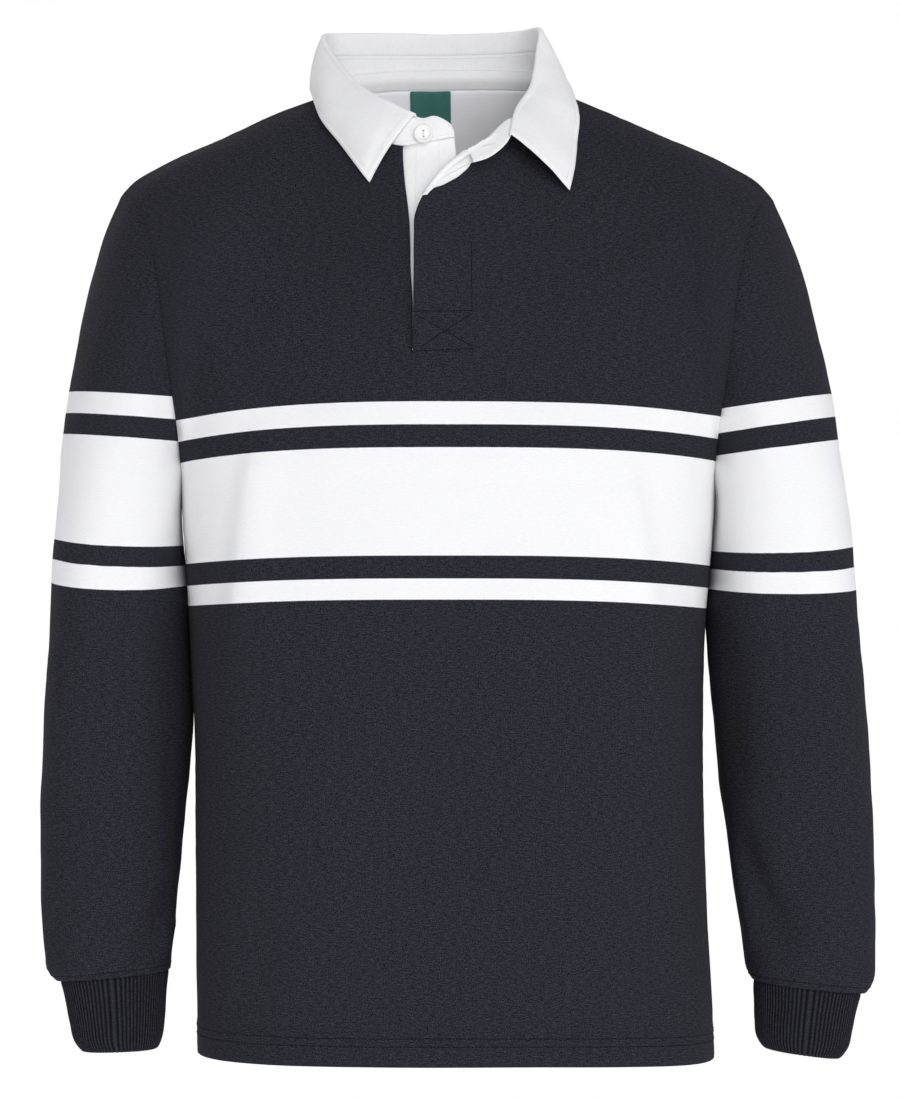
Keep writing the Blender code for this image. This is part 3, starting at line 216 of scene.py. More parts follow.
# %% Sizes of collar, sleeves and cuffs
STAND = table("seam_x seam_y seam_z top_x top_y top_z curl", [
    (4.6, -77.5, -39.4, 4.4, -77, -35, 0),
    (1.0, -78.0, -40.2, 0.6, -75.5, -29, 0),
    (-9.0, -78.5, -42.0, -9.6, -74.5, -23.8, 0),
    (-20.0, -78.5, -44.0, -19.6, -73.5, -25.4, 0),
    (-34.5, -77.0, -46.0, -31.0, -70, -20.6, 0),
    (-50.0, -68.0, -41.5, -44.5, -61, -15.0, 0),
    (-68.0, -51.0, -32.0, -58.5, -44, -5.5, 0),
    (-82.0, -30.0, -19.0, -71.5, -22, 7.0, 0),
    (-91.0, -8.0, -6.0, -83.0, -2, 18.5, 0),
    (-92.0, 12.0, 3.0, -90.5, 17, 28.5, 0),
    (-86.0, 32.0, 10.0, -89.0, 37, 35, 0),
    (-68.0, 50.0, 15.5, -71.0, 56, 38, 0),
    (-40.0, 60.0, 19.0, -41.0, 64, 39, 0),
    (-10.0, 63.0, 20.0, -11.0, 66.5, 39.5, 0),
    (22.0, 60.0, 20.0, 22.0, 63.5, 39.5, 0),
    (50.0, 51.0, 18.5, 50.0, 54.5, 39.5, 0),
    (69.0, 34.0, 15.0, 67.0, 36, 38, 0),
    (76.0, 13.0, 9.0, 67.8, 13, 28, 0),
    (78.0, -8.0, -5.0, 65.6, -8, 12.5, 0),
    (71.0, -32.0, -18.0, 58.6, -31, -4.5, 1),
    (57.0, -50.0, -29.0, 51.0, -52, -18.5, 5),
    (43.0, -66.0, -33.0, 45.6, -78, -40, 14),
    (28.0, -79.0, -44.0, 32.0, -89, -54, 10),
    (15.0, -90.0, -53.0, 17.4, -98, -60, 9),
])
CURL = np.array([-0.05, 0.62, 0.78])
STAND_BUTTON_END = 4
STAND_RIGHT_POINT = 9
STAND_LEFT_POINT = 17
STAND_LIFT = 0.6
LEAF = table("roll_x roll_y roll_z edge_x edge_y edge_z radius bulge", [
    (-23.8, -75.5, -22.0, -58.8, -82, -73, 1.6, 2.0),
    (-31.5, -69.5, -17.5, -62.0, -81, -69, 2.0, 2.5),
    (-42.5, -60.5, -11.0, -67.5, -76, -62, 2.5, 3.0),
    (-61.5, -38.0, 2.5, -83.0, -53, -40, 3.0, 4.0),
    (-78.5, -9.0, 21.5, -97.5, -29, -20, 3.2, 5.0),
    (-89.0, 12.0, 38.0, -105.5, 6, 3, 2.5, 3.0),
    (-94.5, 32.0, 52.0, -106.0, 34, 8, 2.4, 2.5),
    (-82.0, 52.0, 56.0, -94.0, 63, 9, 2.8, 3.0),
    (-50.0, 63.5, 57.2, -57.0, 83, 7, 3.0, 4.0),
    (-12.0, 67.5, 57.4, -12.0, 90, 5, 3.0, 4.0),
    (25.0, 64.5, 57.6, 32.0, 86, 7, 3.0, 4.0),
    (56.0, 53.5, 58.0, 70.0, 69, 11, 2.8, 4.0),
    (69.5, 34.0, 57.0, 89.0, 41, 15, 2.4, 2.0),
    (67.5, 14.0, 40.0, 95.0, 18, 9, 2.4, 2.5),
    (65.3, -5.0, 22.5, 98.0, -1, -1, 2.6, 3.5),
    (61.0, -24.0, 4.0, 100.5, -21, -18, 2.6, 5.0),
    (53.5, -42.0, -9.5, 98.5, -38, -37, 2.2, 5.0),
    (48.5, -62.0, -24.0, 96.0, -58, -58, 1.6, 3.5),
    (46.0, -78.5, -39.0, 91.5, -73, -78, 1.4, 2.0),
])
LEAF_TO_ROW = 21
LEAF_LIFT = 0.8
UNDER_PLACKET = table("z left", [
    (-206, 13.5),
    (-165, 11.5),
    (-115, 9.0),
    (-72, 7.0),
    (-56, 6.0),
    (-40, 4.6),
])
SLEEVE_RIGHT = table("z outer inner middle_y half_y round tilt", [
    (-400, -304.8, -198.5, -8, 66, 2.4, 0),
    (-440, -306.6, -196.5, -9, 60, 2.4, 0),
    (-476, -308.6, -194.6, -10, 56, 2.4, 0),
    (-513, -310.4, -197.6, -11, 51, 2.4, 0),
    (-565, -312.0, -202.4, -12, 46, 2.4, 0),
    (-600, -312.4, -205.8, -13, 43, 2.4, 1),
    (-633, -310.0, -208.8, -14, 40, 2.4, 2),
    (-655, -308.2, -211.0, -15, 38, 2.4, 3),
    (-667, -305.6, -212.4, -15, 37, 2.4, 3.5),
    (-672.5, -300.6, -212.4, -15, 35, 2.4, 4),
])
SLEEVE_LEFT = table("z outer inner middle_y half_y round tilt", [
    (-400, 313.0, 197.5, -8, 66, 2.4, 0),
    (-440, 317.0, 200.6, -9, 60, 2.4, 0),
    (-476, 319.6, 203.2, -10, 56, 2.4, 0),
    (-513, 322.6, 206.4, -11, 51, 2.4, 0),
    (-565, 325.6, 213.8, -12, 46, 2.4, 0),
    (-600, 326.4, 219.0, -13, 43, 2.4, 1),
    (-633, 327.2, 222.8, -14, 40, 2.4, 3),
    (-658, 326.6, 225.6, -15, 38, 2.4, 4),
    (-674, 325.0, 228.8, -15, 37, 2.4, 4.5),
    (-681, 320.4, 232.2, -15, 35, 2.4, 5),
])
SLEEVE_HEAD = table("along out fore down arrive_out arrive_fore arrive_up", [
    (0.00, 1, 0, 24, 1, 0, 36),
    (0.20, 14, 6, 40, 2, 2, 44),
    (0.40, 30, 12, 44, 2, 6, 62),
    (0.60, 45, 18, 46, 0, 10, 84),
    (0.80, 50, 16, 54, -2, 8, 102),
    (1.00, 36, 0, 61, -5, 0, 110),
])
CUFF_RIGHT = table("z outer inner middle_y half_y round tilt", [
    (-672.5, -296.0, -214.2, -15, 32, 2.5, 4),
    (-690, -291.8, -216.0, -16, 30.5, 2.5, 3),
    (-708, -288.4, -217.4, -17, 29, 2.5, 2),
    (-722, -285.0, -219.2, -18, 27.5, 2.5, 1),
    (-729, -280.2, -221.6, -18, 25.5, 2.5, 1),
])
CUFF_LEFT = table("z outer inner middle_y half_y round tilt", [
    (-681, 315.6, 234.6, -15, 32, 2.5, 5),
    (-697, 311.4, 235.4, -16, 30.5, 2.5, 4),
    (-712, 308.2, 235.4, -17, 29, 2.5, 4),
    (-725, 304.6, 236.8, -18, 27.5, 2.5, 4),
    (-731.5, 300.0, 240.6, -18, 25.5, 2.5, 4),
])
print("collar stand", len(STAND["curl"]), "rows; leaf", len(LEAF["bulge"]), "rows")

# %% [markdown]
# ## Smooth lines through few points
# A pattern maker draws a neckline with a flexible ruler through a few marks. `smooth` does that here: it
# reads a table between its rows without a kink. The other helpers measure along a line, and find the way
# that a surface faces. They work on whole arrays of points at once, which is what makes a fine skin quick
# to build.

# %% Helpers for lines and surfaces
def smooth(keys, values, places):
    """A curve through the values at the keys, read at other places."""
    keys = np.asarray(keys, float)
    values = np.asarray(values, float)
    flat = values.reshape(len(keys), -1)
    places = np.clip(np.asarray(places, float), keys[0], keys[-1])
    steps = np.diff(keys)
    slopes = np.diff(flat, axis=0) / steps[:, None]
    share = (steps[:-1] / (steps[:-1] + steps[1:]))[:, None]
    middle = slopes[:-1] * (1 - share) + slopes[1:] * share
    tangents = np.vstack([slopes[:1], middle, slopes[-1:]])
    left = np.clip(np.searchsorted(keys, places.ravel(), side="right") - 1, 0, len(keys) - 2)
    step = steps[left][:, None]
    f = (places.ravel()[:, None] - keys[left][:, None]) / step
    out = (flat[left] * (1 + 2 * f) * (1 - f) ** 2 + flat[left + 1] * f * f * (3 - 2 * f)
           + step * (tangents[left] * f * (1 - f) ** 2 - tangents[left + 1] * f * f * (1 - f)))
    return out.reshape(places.shape + values.shape[1:])


def read(rows, key, column, places):
    """One column of a table, read smoothly at other values of its key."""
    order = np.argsort(rows[key])
    return smooth(rows[key][order], rows[column][order], places)


def points_of(rows, names="x y z"):
    """Three columns of a table as points."""
    return np.stack([rows[name] for name in names.split()], axis=-1)


def distances(points):
    """Distance along lines of points; the lines run down the first axis."""
    steps = np.linalg.norm(np.diff(points, axis=0), axis=-1)
    return np.concatenate([np.zeros((1, *steps.shape[1:])), np.cumsum(steps, axis=0)])


def turned(grid):
    """A grid with its rows and columns exchanged."""
    return grid.transpose(1, 0, 2)


def widths(grid):
    """Distance of each point of a grid from the start of its own row."""
    return distances(turned(grid)).T


def closed(grid):
    """A ring's grid with its first column repeated at the end."""
    return np.concatenate([grid, grid[:, :1]], axis=1)


def curve(points, places):
    """The smooth curve through points, read by share of its length."""
    along = distances(points)
    return smooth(along / along[-1], points, places)


def evened(values, passes):
    """A line of values with its small bumps averaged out, its ends kept."""
    values = values.copy()
    for _ in range(passes):
        values[1:-1] = (values[:-2] + 2 * values[1:-1] + values[2:]) / 4
    return values


def unit(vectors):
    """Vectors made one unit long."""
    return vectors / np.maximum(np.linalg.norm(vectors, axis=-1, keepdims=True), 1e-9)


def ease(x):
    """0 to 1 with level ends."""
    x = np.clip(x, 0, 1)
    return x * x * (3 - 2 * x)


def surface_normals(grid, core=None, ring=False):
    """Unit normals of a grid, facing away from its core. A ring's core is the middle of each row."""
    if ring:
        core = grid.mean(axis=1, keepdims=True)
        across = np.roll(grid, -1, axis=1) - np.roll(grid, 1, axis=1)
    else:
        across = np.gradient(grid, axis=1)
    normals = unit(np.cross(across, np.gradient(grid, axis=0)))
    return normals if np.sum(normals * (grid - core)) > 0 else -normals


def place_at(line, distance):
    """Fractional row of a line of points at a distance along it."""
    return np.interp(distance, distances(line), np.arange(len(line)))


def between(rows, places):
    """Rows of points read at fractional places."""
    places = np.atleast_1d(places)
    low = np.clip(np.floor(places).astype(int), 0, len(rows) - 2)
    f = (places - low)[:, None]
    return rows[low] * (1 - f) + rows[low + 1] * f


neck_seam = points_of(STAND, "seam_x seam_y seam_z")
print("a line through three marks:", smooth([0, 1, 2], [0, 5, 6], [0.5, 1.5]).round(2))

# %% [markdown]
# ## Creases
# Cloth that hangs from two shoulders isn't smooth. Soft ridges fall from the chest beside each arm, a
# sleeve has a long hollow on its inner side, and short creases gather over the cuffs. Each crease here is
# given as a line of two to four marks, a width on each side of it and a height, below zero for a
# trough. No two are alike. On the body a mark is x and z; on a sleeve it is the angle round it, 0 at the
# inner side and 90 in front, and z.

# %% Creases of body and sleeves
FRONT_CREASES = [
    ([(-133, -238), (-146, -312), (-152, -372), (-156, -410), (-165, -446)], 20, 11, 5.6),
    ([(128, -246), (136, -315), (143, -350), (148, -392), (156, -460), (168, -520)], 10, 18, 4.6),
    ([(-178, -300), (-179, -420), (-182, -600)], 13, 15, -3.2),
    ([(181, -330), (180, -430), (186, -590)], 14, 12, -3.0),
    ([(-196, -150), (-172, -205), (-140, -262)], 12, 17, 2.4),
    ([(-186, -120), (-158, -150), (-118, -172)], 15, 10, -1.6),
    ([(200, -140), (178, -196), (146, -250)], 16, 11, 2.6),
    ([(176, -96), (150, -128), (106, -150)], 12, 16, 1.5),
    ([(62, -168), (58, -210), (44, -262)], 24, 18, -1.4),
    ([(-96, -470), (-88, -560), (-92, -668)], 26, 34, 2.4),
    ([(66, -500), (84, -600), (88, -700)], 30, 24, 2.0),
    ([(-20, -440), (-8, -540), (-24, -640)], 40, 30, -1.8),
    ([(132, -580), (140, -650), (138, -712)], 18, 14, -1.8),
    ([(-146, -600), (-140, -660), (-148, -716)], 14, 18, -1.8),
    ([(12, -212), (60, -230), (112, -226)], 12, 9, -1.0),
    ([(-60, -214), (-96, -236), (-128, -232)], 9, 14, -0.9),
    ([(176, -622), (150, -650), (112, -662)], 9, 13, 1.1),
    ([(-184, -640), (-160, -664), (-120, -680)], 12, 8, 1.0),
]
BACK_CREASES = [
    ([(-118, -170), (-132, -300), (-128, -430), (-146, -540)], 18, 24, 5.0),
    ([(106, -190), (122, -310), (116, -440), (132, -580)], 22, 15, 4.6),
    ([(6, -96), (-8, -210), (4, -330), (-6, -450)], 36, 30, -4.4),
    ([(58, -120), (70, -260), (62, -380)], 18, 22, 2.2),
    ([(-54, -130), (-66, -240), (-60, -350)], 20, 15, 1.8),
    ([(-174, -310), (-178, -450), (-182, -610)], 12, 15, -3.0),
    ([(178, -330), (174, -470), (184, -600)], 15, 11, -2.8),
    ([(190, -150), (160, -200), (128, -262)], 15, 11, 2.6),
    ([(-194, -160), (-168, -214), (-130, -268)], 10, 16, 2.8),
    ([(-40, -480), (-30, -580), (-44, -690)], 34, 28, 2.4),
    ([(70, -520), (60, -620), (74, -706)], 26, 34, -2.2),
    ([(-120, -590), (-112, -660), (-118, -716)], 16, 20, -1.8),
]
SLEEVE_CREASES = {
    -1: [
        ([(36, -372), (42, -450), (34, -540), (30, -616)], 22, 28, -5.5),
        ([(24, -596), (46, -640), (82, -668)], 13, 18, -4.2),
        ([(6, -622), (30, -660)], 10, 12, 2.2),
        ([(150, -410), (132, -480), (120, -566)], 26, 20, 2.6),
        ([(92, -330), (84, -400), (66, -470)], 18, 15, -1.8),
        ([(120, -560), (104, -612), (112, -660)], 16, 12, 1.8),
        ([(168, -620), (140, -648), (108, -664)], 9, 12, -1.6),
        ([(62, -182), (82, -232), (86, -292)], 17, 12, 1.8),
        ([(126, -150), (132, -210), (118, -270)], 14, 18, 1.6),
        ([(230, -420), (240, -530), (250, -644)], 22, 28, -4.2),
        ([(320, -540), (286, -610), (260, -668)], 18, 24, -4.0),
        ([(300, -360), (286, -430), (292, -500)], 18, 14, 2.4),
        ([(248, -220), (262, -290), (256, -350)], 15, 18, 2.0),
        ([(200, -600), (226, -640), (236, -666)], 12, 14, 2.0),
    ],
    1: [
        ([(50, -392), (40, -470), (26, -560)], 27, 22, -5.6),
        ([(32, -548), (50, -604), (86, -672)], 14, 18, -4.8),
        ([(12, -560), (24, -610), (30, -664)], 11, 13, 2.6),
        ([(140, -420), (128, -500), (124, -570)], 20, 26, 2.4),
        ([(98, -340), (88, -410), (72, -486)], 14, 19, -1.8),
        ([(118, -580), (100, -628), (108, -674)], 12, 16, 1.8),
        ([(64, -196), (78, -240), (80, -300)], 16, 12, 2.0),
        ([(122, -160), (134, -220), (124, -286)], 18, 14, 1.4),
        ([(225, -420), (236, -540), (245, -660)], 28, 22, -4.0),
        ([(310, -560), (284, -620), (255, -674)], 18, 22, -4.2),
        ([(296, -350), (284, -440), (294, -520)], 14, 20, 2.6),
        ([(250, -230), (258, -300), (250, -362)], 18, 14, 1.8),
        ([(176, -640), (150, -660), (116, -676)], 10, 9, -1.4),
    ],
}
CREASE_MARKS = 28
CREASE_RISE = 0.28
CREASE_FADE = 0.38


def crease_height(x, z, creases, turn=False):
    """Height of all creases at points x, z. With turn, x is an angle and goes round."""
    height = np.zeros(x.shape)
    for line, width_right, width_left, rise in creases:
        marks = curve(np.array(line, float), np.linspace(0, 1, CREASE_MARKS))
        across = x[..., None] - marks[:, 0]
        if turn:
            across = (across + 180) % 360 - 180
        up = z[..., None] - marks[:, 1]
        nearest = np.argmin(across ** 2 + up ** 2, axis=-1)
        run = np.gradient(marks, axis=0)[nearest]
        across = np.take_along_axis(across, nearest[..., None], -1)[..., 0]
        up = np.take_along_axis(up, nearest[..., None], -1)[..., 0]
        size = np.linalg.norm(run, axis=-1)
        side = (across * run[..., 1] - up * run[..., 0]) / size
        past = (across * run[..., 0] + up * run[..., 1]) / size
        away = np.hypot(side, past * ((nearest == 0) | (nearest == CREASE_MARKS - 1)))
        width = np.where(side < 0, width_right, width_left)
        along = nearest / (CREASE_MARKS - 1)
        fade = ease(along / CREASE_RISE) * ease((1 - along) / CREASE_FADE)
        height += rise * np.exp(-(away / width) ** 2) * fade
    return height


def wobble(points, size, height, seed):
    """The slight unevenness of cloth that has been worn: smooth noise, the same each time."""
    flat = points.reshape(-1, 3) / size + seed
    values = [noise.noise(Vector(p)) for p in flat.tolist()]
    return height * np.array(values).reshape(points.shape[:-1])


print(len(FRONT_CREASES), "creases in front,", len(BACK_CREASES), "behind,",
      {side: len(rows) for side, rows in SLEEVE_CREASES.items()}, "on the sleeves")

# %% [markdown]
# ## The surface of a body panel
# A panel is a grid. Its lower rows are knitted courses, each a flattened oval. Above the underarm each
# column climbs from the last course to the shoulder seam or the neckline, and the side columns bend to the
# armhole. The opening of the placket is a slit: the columns on either side of it are moved to its two free
# edges. The grid is the same one as the solid's, only with six times as many rows and columns.

# %% Body panels
LOWER_ROWS = 132
UPPER_ROWS = 92
UPPER_CLUSTER = 1.35
SHOULDER_COLUMNS = 42
NECK_COLUMNS = 60
FRONT_NECK_RIGHT = 24
FRONT_NECK_LEFT = 36
COURSE_POINTS = 361
RELAX_POINTS = 81
RELAX_TURNS = 90
BODY_CORE = (0, -10, -30)
NECK_CORE = (-8, -5, 0)


def course(panel, z):
    """One knitted course of the lower body, from the right side seam to the left. Panel -1 is the front."""
    turn = np.linspace(-math.pi / 2, math.pi / 2, COURSE_POINTS)
    depth, bow = ("front", "bow_front") if panel < 0 else ("back", "bow_back")
    power = 2 / read(BODY, "z", bow, z)
    half = np.where(turn < 0, read(BODY, "z", "right", z), read(BODY, "z", "left", z))
    x = np.sign(turn) * half * np.abs(np.sin(turn)) ** power
    y = SIDE_Y + (read(BODY, "z", depth, z) - SIDE_Y) * np.abs(np.cos(turn)) ** power
    sag = np.where(turn < 0, read(BODY, "z", "sag_right", z), read(BODY, "z", "sag_left", z))
    return np.stack([x, y, z - sag * np.abs(x / half) ** 3], axis=-1)


def across_course(line, shares):
    """Points of a course by share of the way from its middle, 0, to its side seams, -1 and 1."""
    middle = len(line) // 2
    right = curve(line[middle::-1], np.maximum(-shares, 0))
    left = curve(line[middle:], np.maximum(shares, 0))
    return np.where((shares < 0)[:, None], right, left)


def top_edge(panel, shares, on_right):
    """Top of a panel: shoulder seams and neckline. on_right says which side of the slit a column is on."""
    out = np.empty((len(shares), 3))
    for k, share in enumerate(shares):
        if abs(share) >= NECK_COLUMN:
            shoulder = SHOULDER_RIGHT if share < 0 else SHOULDER_LEFT
            place = (abs(share) - NECK_COLUMN) / (1 - NECK_COLUMN)
            out[k] = [read(shoulder, "along", axis, place) for axis in "xyz"]
        elif panel > 0:
            neck = neck_seam[STAND_RIGHT_POINT:STAND_LEFT_POINT + 1]
            out[k] = curve(neck, (share + NECK_COLUMN) / (2 * NECK_COLUMN))
        elif on_right[k]:
            neck = neck_seam[STAND_BUTTON_END:STAND_RIGHT_POINT + 1]
            out[k] = curve(neck, (SLIT_RIGHT_SHARE - share) / (SLIT_RIGHT_SHARE + NECK_COLUMN))
        else:
            neck = neck_seam[STAND_LEFT_POINT:]
            out[k] = curve(neck, (NECK_COLUMN - share) / (NECK_COLUMN - SLIT_LEFT_SHARE))
    return out


def relaxed_top(panel, shares, on_right):
    """The top edge with its corners at the neck rounded off, which is what the cloth lower down follows."""
    out = np.empty((len(shares), 3))
    for part in ((on_right, ~on_right) if panel < 0 else (np.ones(len(shares), bool),)):
        dense = np.linspace(shares[part].min(), shares[part].max(), RELAX_POINTS)
        line = top_edge(panel, dense, np.full(RELAX_POINTS, bool(on_right[part][0])))
        out[part] = smooth(dense, evened(line, RELAX_TURNS), shares[part])
    return out


def armhole(panel, side, places):
    """The armhole seam, from the underarm (0) to the shoulder point (1)."""
    rows = points_of(ARMHOLE_FRONT if panel < 0 else ARMHOLE_BACK)
    if side > 0:
        rows = rows * [-1, 1, 1]
        shoulder = points_of(SHOULDER_LEFT)[-1]
        rows[-2] += (shoulder - rows[-1]) / 2
        rows[-1] = shoulder
    return curve(rows, places)


def open_slit(grid, shares, on_right, lifted):
    """Moves the columns beside the placket opening to its two free edges."""
    out = grid.copy()
    for right in (True, False):
        edge_share = SLIT_RIGHT_SHARE if right else SLIT_LEFT_SHARE
        edge = grid[:, int(np.flatnonzero(shares == edge_share)[0])]
        wanted = read(SLIT, "z", "right" if right else "left", edge[:, 2])
        lift = 0 if right else read(SLIT, "z", "lift", edge[:, 2]) * lifted
        above = ease((edge[:, 2] - SLIT_SHUT_Z) / (SLIT_OPEN_Z - SLIT_SHUT_Z))
        miss = np.stack([(wanted - edge[:, 0]) * above, -lift * above, np.zeros(len(edge))], axis=-1)
        miss[-1] = 0
        hold = np.where(on_right == right, 1 - ease(np.abs(shares - edge_share) / SLIT_REACH), 0)
        out = out + miss[:, None] * hold[None, :, None]
    return out


def bridged(t, start, leave, arrive, end):
    """Points at shares t of the curves that leave one line and arrive at another."""
    return ((1 - t) ** 3 * start + 3 * t * (1 - t) ** 2 * (start + leave)
            + 3 * t * t * (1 - t) * (end + arrive) + t ** 3 * end)


def upper_panel(panel, shares, places, on_right):
    """A panel above the underarm course: its columns climb to the shoulders, neckline or armholes."""
    foot = across_course(course(panel, UNDERARM_Z), shares)
    edge = top_edge(panel, shares, on_right)
    top = relaxed_top(panel, shares, on_right)
    climb = FRONT_CLIMB if panel < 0 else BACK_CLIMB
    side, sign = np.abs(shares), np.sign(shares)
    out, lean, rise, in_x, fall_y, fall_z = (
        read(climb, "side", name, side) for name in ("out", "lean", "rise", "in_x", "fall_y", "fall_z"))
    leave = np.stack([out * sign, lean, rise], axis=-1)
    arrive = np.stack([-in_x * sign, fall_y, fall_z], axis=-1)
    t = places[:, None, None]
    grid = bridged(t, foot, leave, arrive, top) + t ** CORNER_DECAY * (edge - top)
    for end in (-1, 1):
        column = int(np.argmin(np.abs(shares - end)))
        miss = armhole(panel, end, places) - grid[:, column]
        hold = ease((shares * end - ARMHOLE_HOLD) / (1 - ARMHOLE_HOLD))
        grid = grid + miss[:, None] * hold[None, :, None]
    return open_slit(grid, shares, on_right, 1 - places ** LIFT_DECAY) if panel < 0 else grid


upper_places = 1 - (1 - np.linspace(0, 1, UPPER_ROWS + 1)) ** UPPER_CLUSTER
right_shoulder = np.linspace(-1, -NECK_COLUMN, SHOULDER_COLUMNS, endpoint=False)
left_shoulder = np.linspace(NECK_COLUMN, 1, SHOULDER_COLUMNS + 1)
shares = {
    -1: np.concatenate([
        right_shoulder,
        np.linspace(-NECK_COLUMN, SLIT_RIGHT_SHARE, FRONT_NECK_RIGHT + 1),
        np.linspace(SLIT_LEFT_SHARE, NECK_COLUMN, FRONT_NECK_LEFT, endpoint=False),
        left_shoulder]),
    1: np.concatenate([
        right_shoulder,
        np.linspace(-NECK_COLUMN, NECK_COLUMN, NECK_COLUMNS, endpoint=False),
        left_shoulder]),
}
panels = {}
for panel in (-1, 1):
    on_right = shares[panel] <= SLIT_RIGHT_SHARE
    levels = np.linspace(HEM_Z, UNDERARM_Z, LOWER_ROWS + 1)[:-1]
    lower = np.stack([across_course(course(panel, z), shares[panel]) for z in levels])
    panels[panel] = np.concatenate([lower, upper_panel(panel, shares[panel], upper_places, on_right)])
print("front grid", panels[-1].shape[:2], "back grid", panels[1].shape[:2])

# %% [markdown]
# ## Relief beside seams and hem
# A seam pulls its two edges in, and the allowance folded under it raises a low ridge beside it, with small
# puckers where the thread is tight. At the hem the cloth is doubled for 22 mm. Both follow the distance to
# an edge, so the distance is measured along the rows and columns of the grid first.

# %% Relief
SEAM_RIDGE = 0.75
SEAM_GROOVE_WIDTH = 2.4
SEAM_RIDGE_WIDTH = 8.5
HEM_FOLD = 22.0
HEM_RISE = 0.55
HEM_FOLD_EDGE = 3.0
HEM_ROWS = (20.5, 14.5)
HEM_PINCH = 0.3
HEM_PINCH_WIDTH = 1.6
HEM_PUCKER_REACH = 13.0
PUCKER = 0.45
PUCKER_SIZE = 8.0
PUCKER_LONG = np.array([1, 1, 0.35])
BROAD_WAVE = (70, 1.5)
SMALL_WAVE = (24, 0.45)
WAVE_FROM_SEAM = 30.0
SEEDS = {-1: 3.1, 1: 8.7}
SMALL_SEED = 20


def seam_relief(distance, points, seed):
    """Height of the ridge beside a seam, with its puckers."""
    ridge = (1 - np.exp(-(distance / SEAM_GROOVE_WIDTH) ** 2)) * np.exp(-(distance / SEAM_RIDGE_WIDTH) ** 2)
    return ridge * (SEAM_RIDGE + wobble(points, PUCKER_SIZE, PUCKER, seed))


def hem_relief(distance, points, seed):
    """The doubled cloth of a hem: raised, pinched at the stitching and gone above the fold."""
    doubled = 1 - ease((distance - HEM_FOLD) / HEM_FOLD_EDGE)
    pinch = sum(np.exp(-((distance - row) / HEM_PINCH_WIDTH) ** 2) for row in HEM_ROWS)
    near = np.exp(-((distance - HEM_ROWS[0]) / HEM_PUCKER_REACH) ** 2)
    puckers = near * wobble(points * PUCKER_LONG, PUCKER_SIZE, PUCKER, seed)
    return doubled * HEM_RISE - pinch * HEM_PINCH + puckers


for panel, creases in ((-1, FRONT_CREASES), (1, BACK_CREASES)):
    seed = SEEDS[panel]
    grid = panels[panel]
    normals = surface_normals(grid, grid * UPRIGHT)
    if panel < 0:
        slit_cell = SHOULDER_COLUMNS + FRONT_NECK_RIGHT
        foot = int(np.flatnonzero(grid[:, slit_cell, 2] > SLIT_FOOT_Z)[0])
        for half in (slice(0, slit_cell + 1), slice(slit_cell + 1, None)):
            normals[foot:, half] = surface_normals(grid[:, half], grid[:, half] * UPRIGHT)[foot:]
    height = crease_height(grid[..., 0], grid[..., 2], creases)
    height += wobble(grid, *BROAD_WAVE, seed) + wobble(grid, *SMALL_WAVE, seed + SMALL_SEED)
    across, up = widths(grid), distances(grid)
    from_seam = np.minimum(np.minimum(across, across[:, -1:] - across), up[-1] - up)
    height *= ease(from_seam / WAVE_FROM_SEAM)
    height += seam_relief(from_seam, grid, seed) + hem_relief(up, grid, seed)
    panels[panel] = grid + normals * height[..., None]
    print("panel", panel, "creases up to", round(float(height.max()), 1), "mm")

# %% [markdown]
# ## Sleeves
# A set-in sleeve is a tube whose upper end is the armhole itself, so each of its columns starts at a point
# of the armhole and runs down to the cuff. `ring_points` gives one flattened ring, and the head between the
# armhole and the first full ring is a short curve for each column.

# %% Sleeve grids
HEAD_ROWS = 52
SLEEVE_ROWS = 70
SLEEVE_HEM_ROW = 4.4
SLEEVE_HEM_PINCH = 0.35
SLEEVE_HEM_WIDTH = 1.5
SLEEVE_BROAD_WAVE = (60, 1.4)
SLEEVE_SMALL_WAVE = (22, 0.5)
SLEEVE_GATHERS = (13, 1.5)
GATHER_REACH = 26.0
GATHER_SEED = 40
SLEEVE_FROM_SEAM = 16.0
SLEEVE_SEEDS = {-1: 15.3, 1: 22.9}


def ring_points(rows, z, angles):
    """One ring of a sleeve or cuff. Angle 0 is its inner side and 90 degrees its front."""
    outer, inner, middle_y, half_y, power, tilt = (
        read(rows, "z", name, z) for name in ("outer", "inner", "middle_y", "half_y", "round", "tilt"))
    middle_x, half_x = (outer + inner) / 2, (inner - outer) / 2
    c, s = np.cos(angles), np.sin(angles)
    power = 2 / power
    x = middle_x + half_x * np.sign(c) * np.abs(c) ** power
    y = middle_y - half_y * np.sign(s) * np.abs(s) ** power
    return np.stack([x, y, z + tilt * (x - middle_x) / half_x], axis=-1)


def sleeve_grid(side):
    """A sleeve from its armhole to the cuff seam, and the angle of each of its columns."""
    rows = SLEEVE_RIGHT if side < 0 else SLEEVE_LEFT
    back_places = upper_places[-2:0:-1]
    hole = np.concatenate([armhole(-1, side, upper_places), armhole(1, side, upper_places)[-2:0:-1]])
    along = np.concatenate([upper_places, back_places])
    facing = np.concatenate([np.ones(len(upper_places)), -np.ones(len(back_places))])
    angles = np.concatenate([upper_places * math.pi, (2 - back_places) * math.pi])
    first = rows["z"][0]
    ring = ring_points(rows, first, angles)

    def head(names, sign):
        out, fore, up = (read(SLEEVE_HEAD, "along", name, along) for name in names.split())
        return np.stack([side * out, -facing * fore, sign * up], axis=-1)

    shares_down = np.linspace(0, 1, HEAD_ROWS + 1)[:, None, None]
    leave, arrive = head("out fore down", -1), head("arrive_out arrive_fore arrive_up", 1)
    upper = bridged(shares_down, hole, leave, arrive, ring)
    levels = np.linspace(first, rows["z"][-1], SLEEVE_ROWS + 1)[1:]
    lower = np.stack([ring_points(rows, z, angles) for z in levels])
    return np.concatenate([upper, lower]), np.degrees(angles)


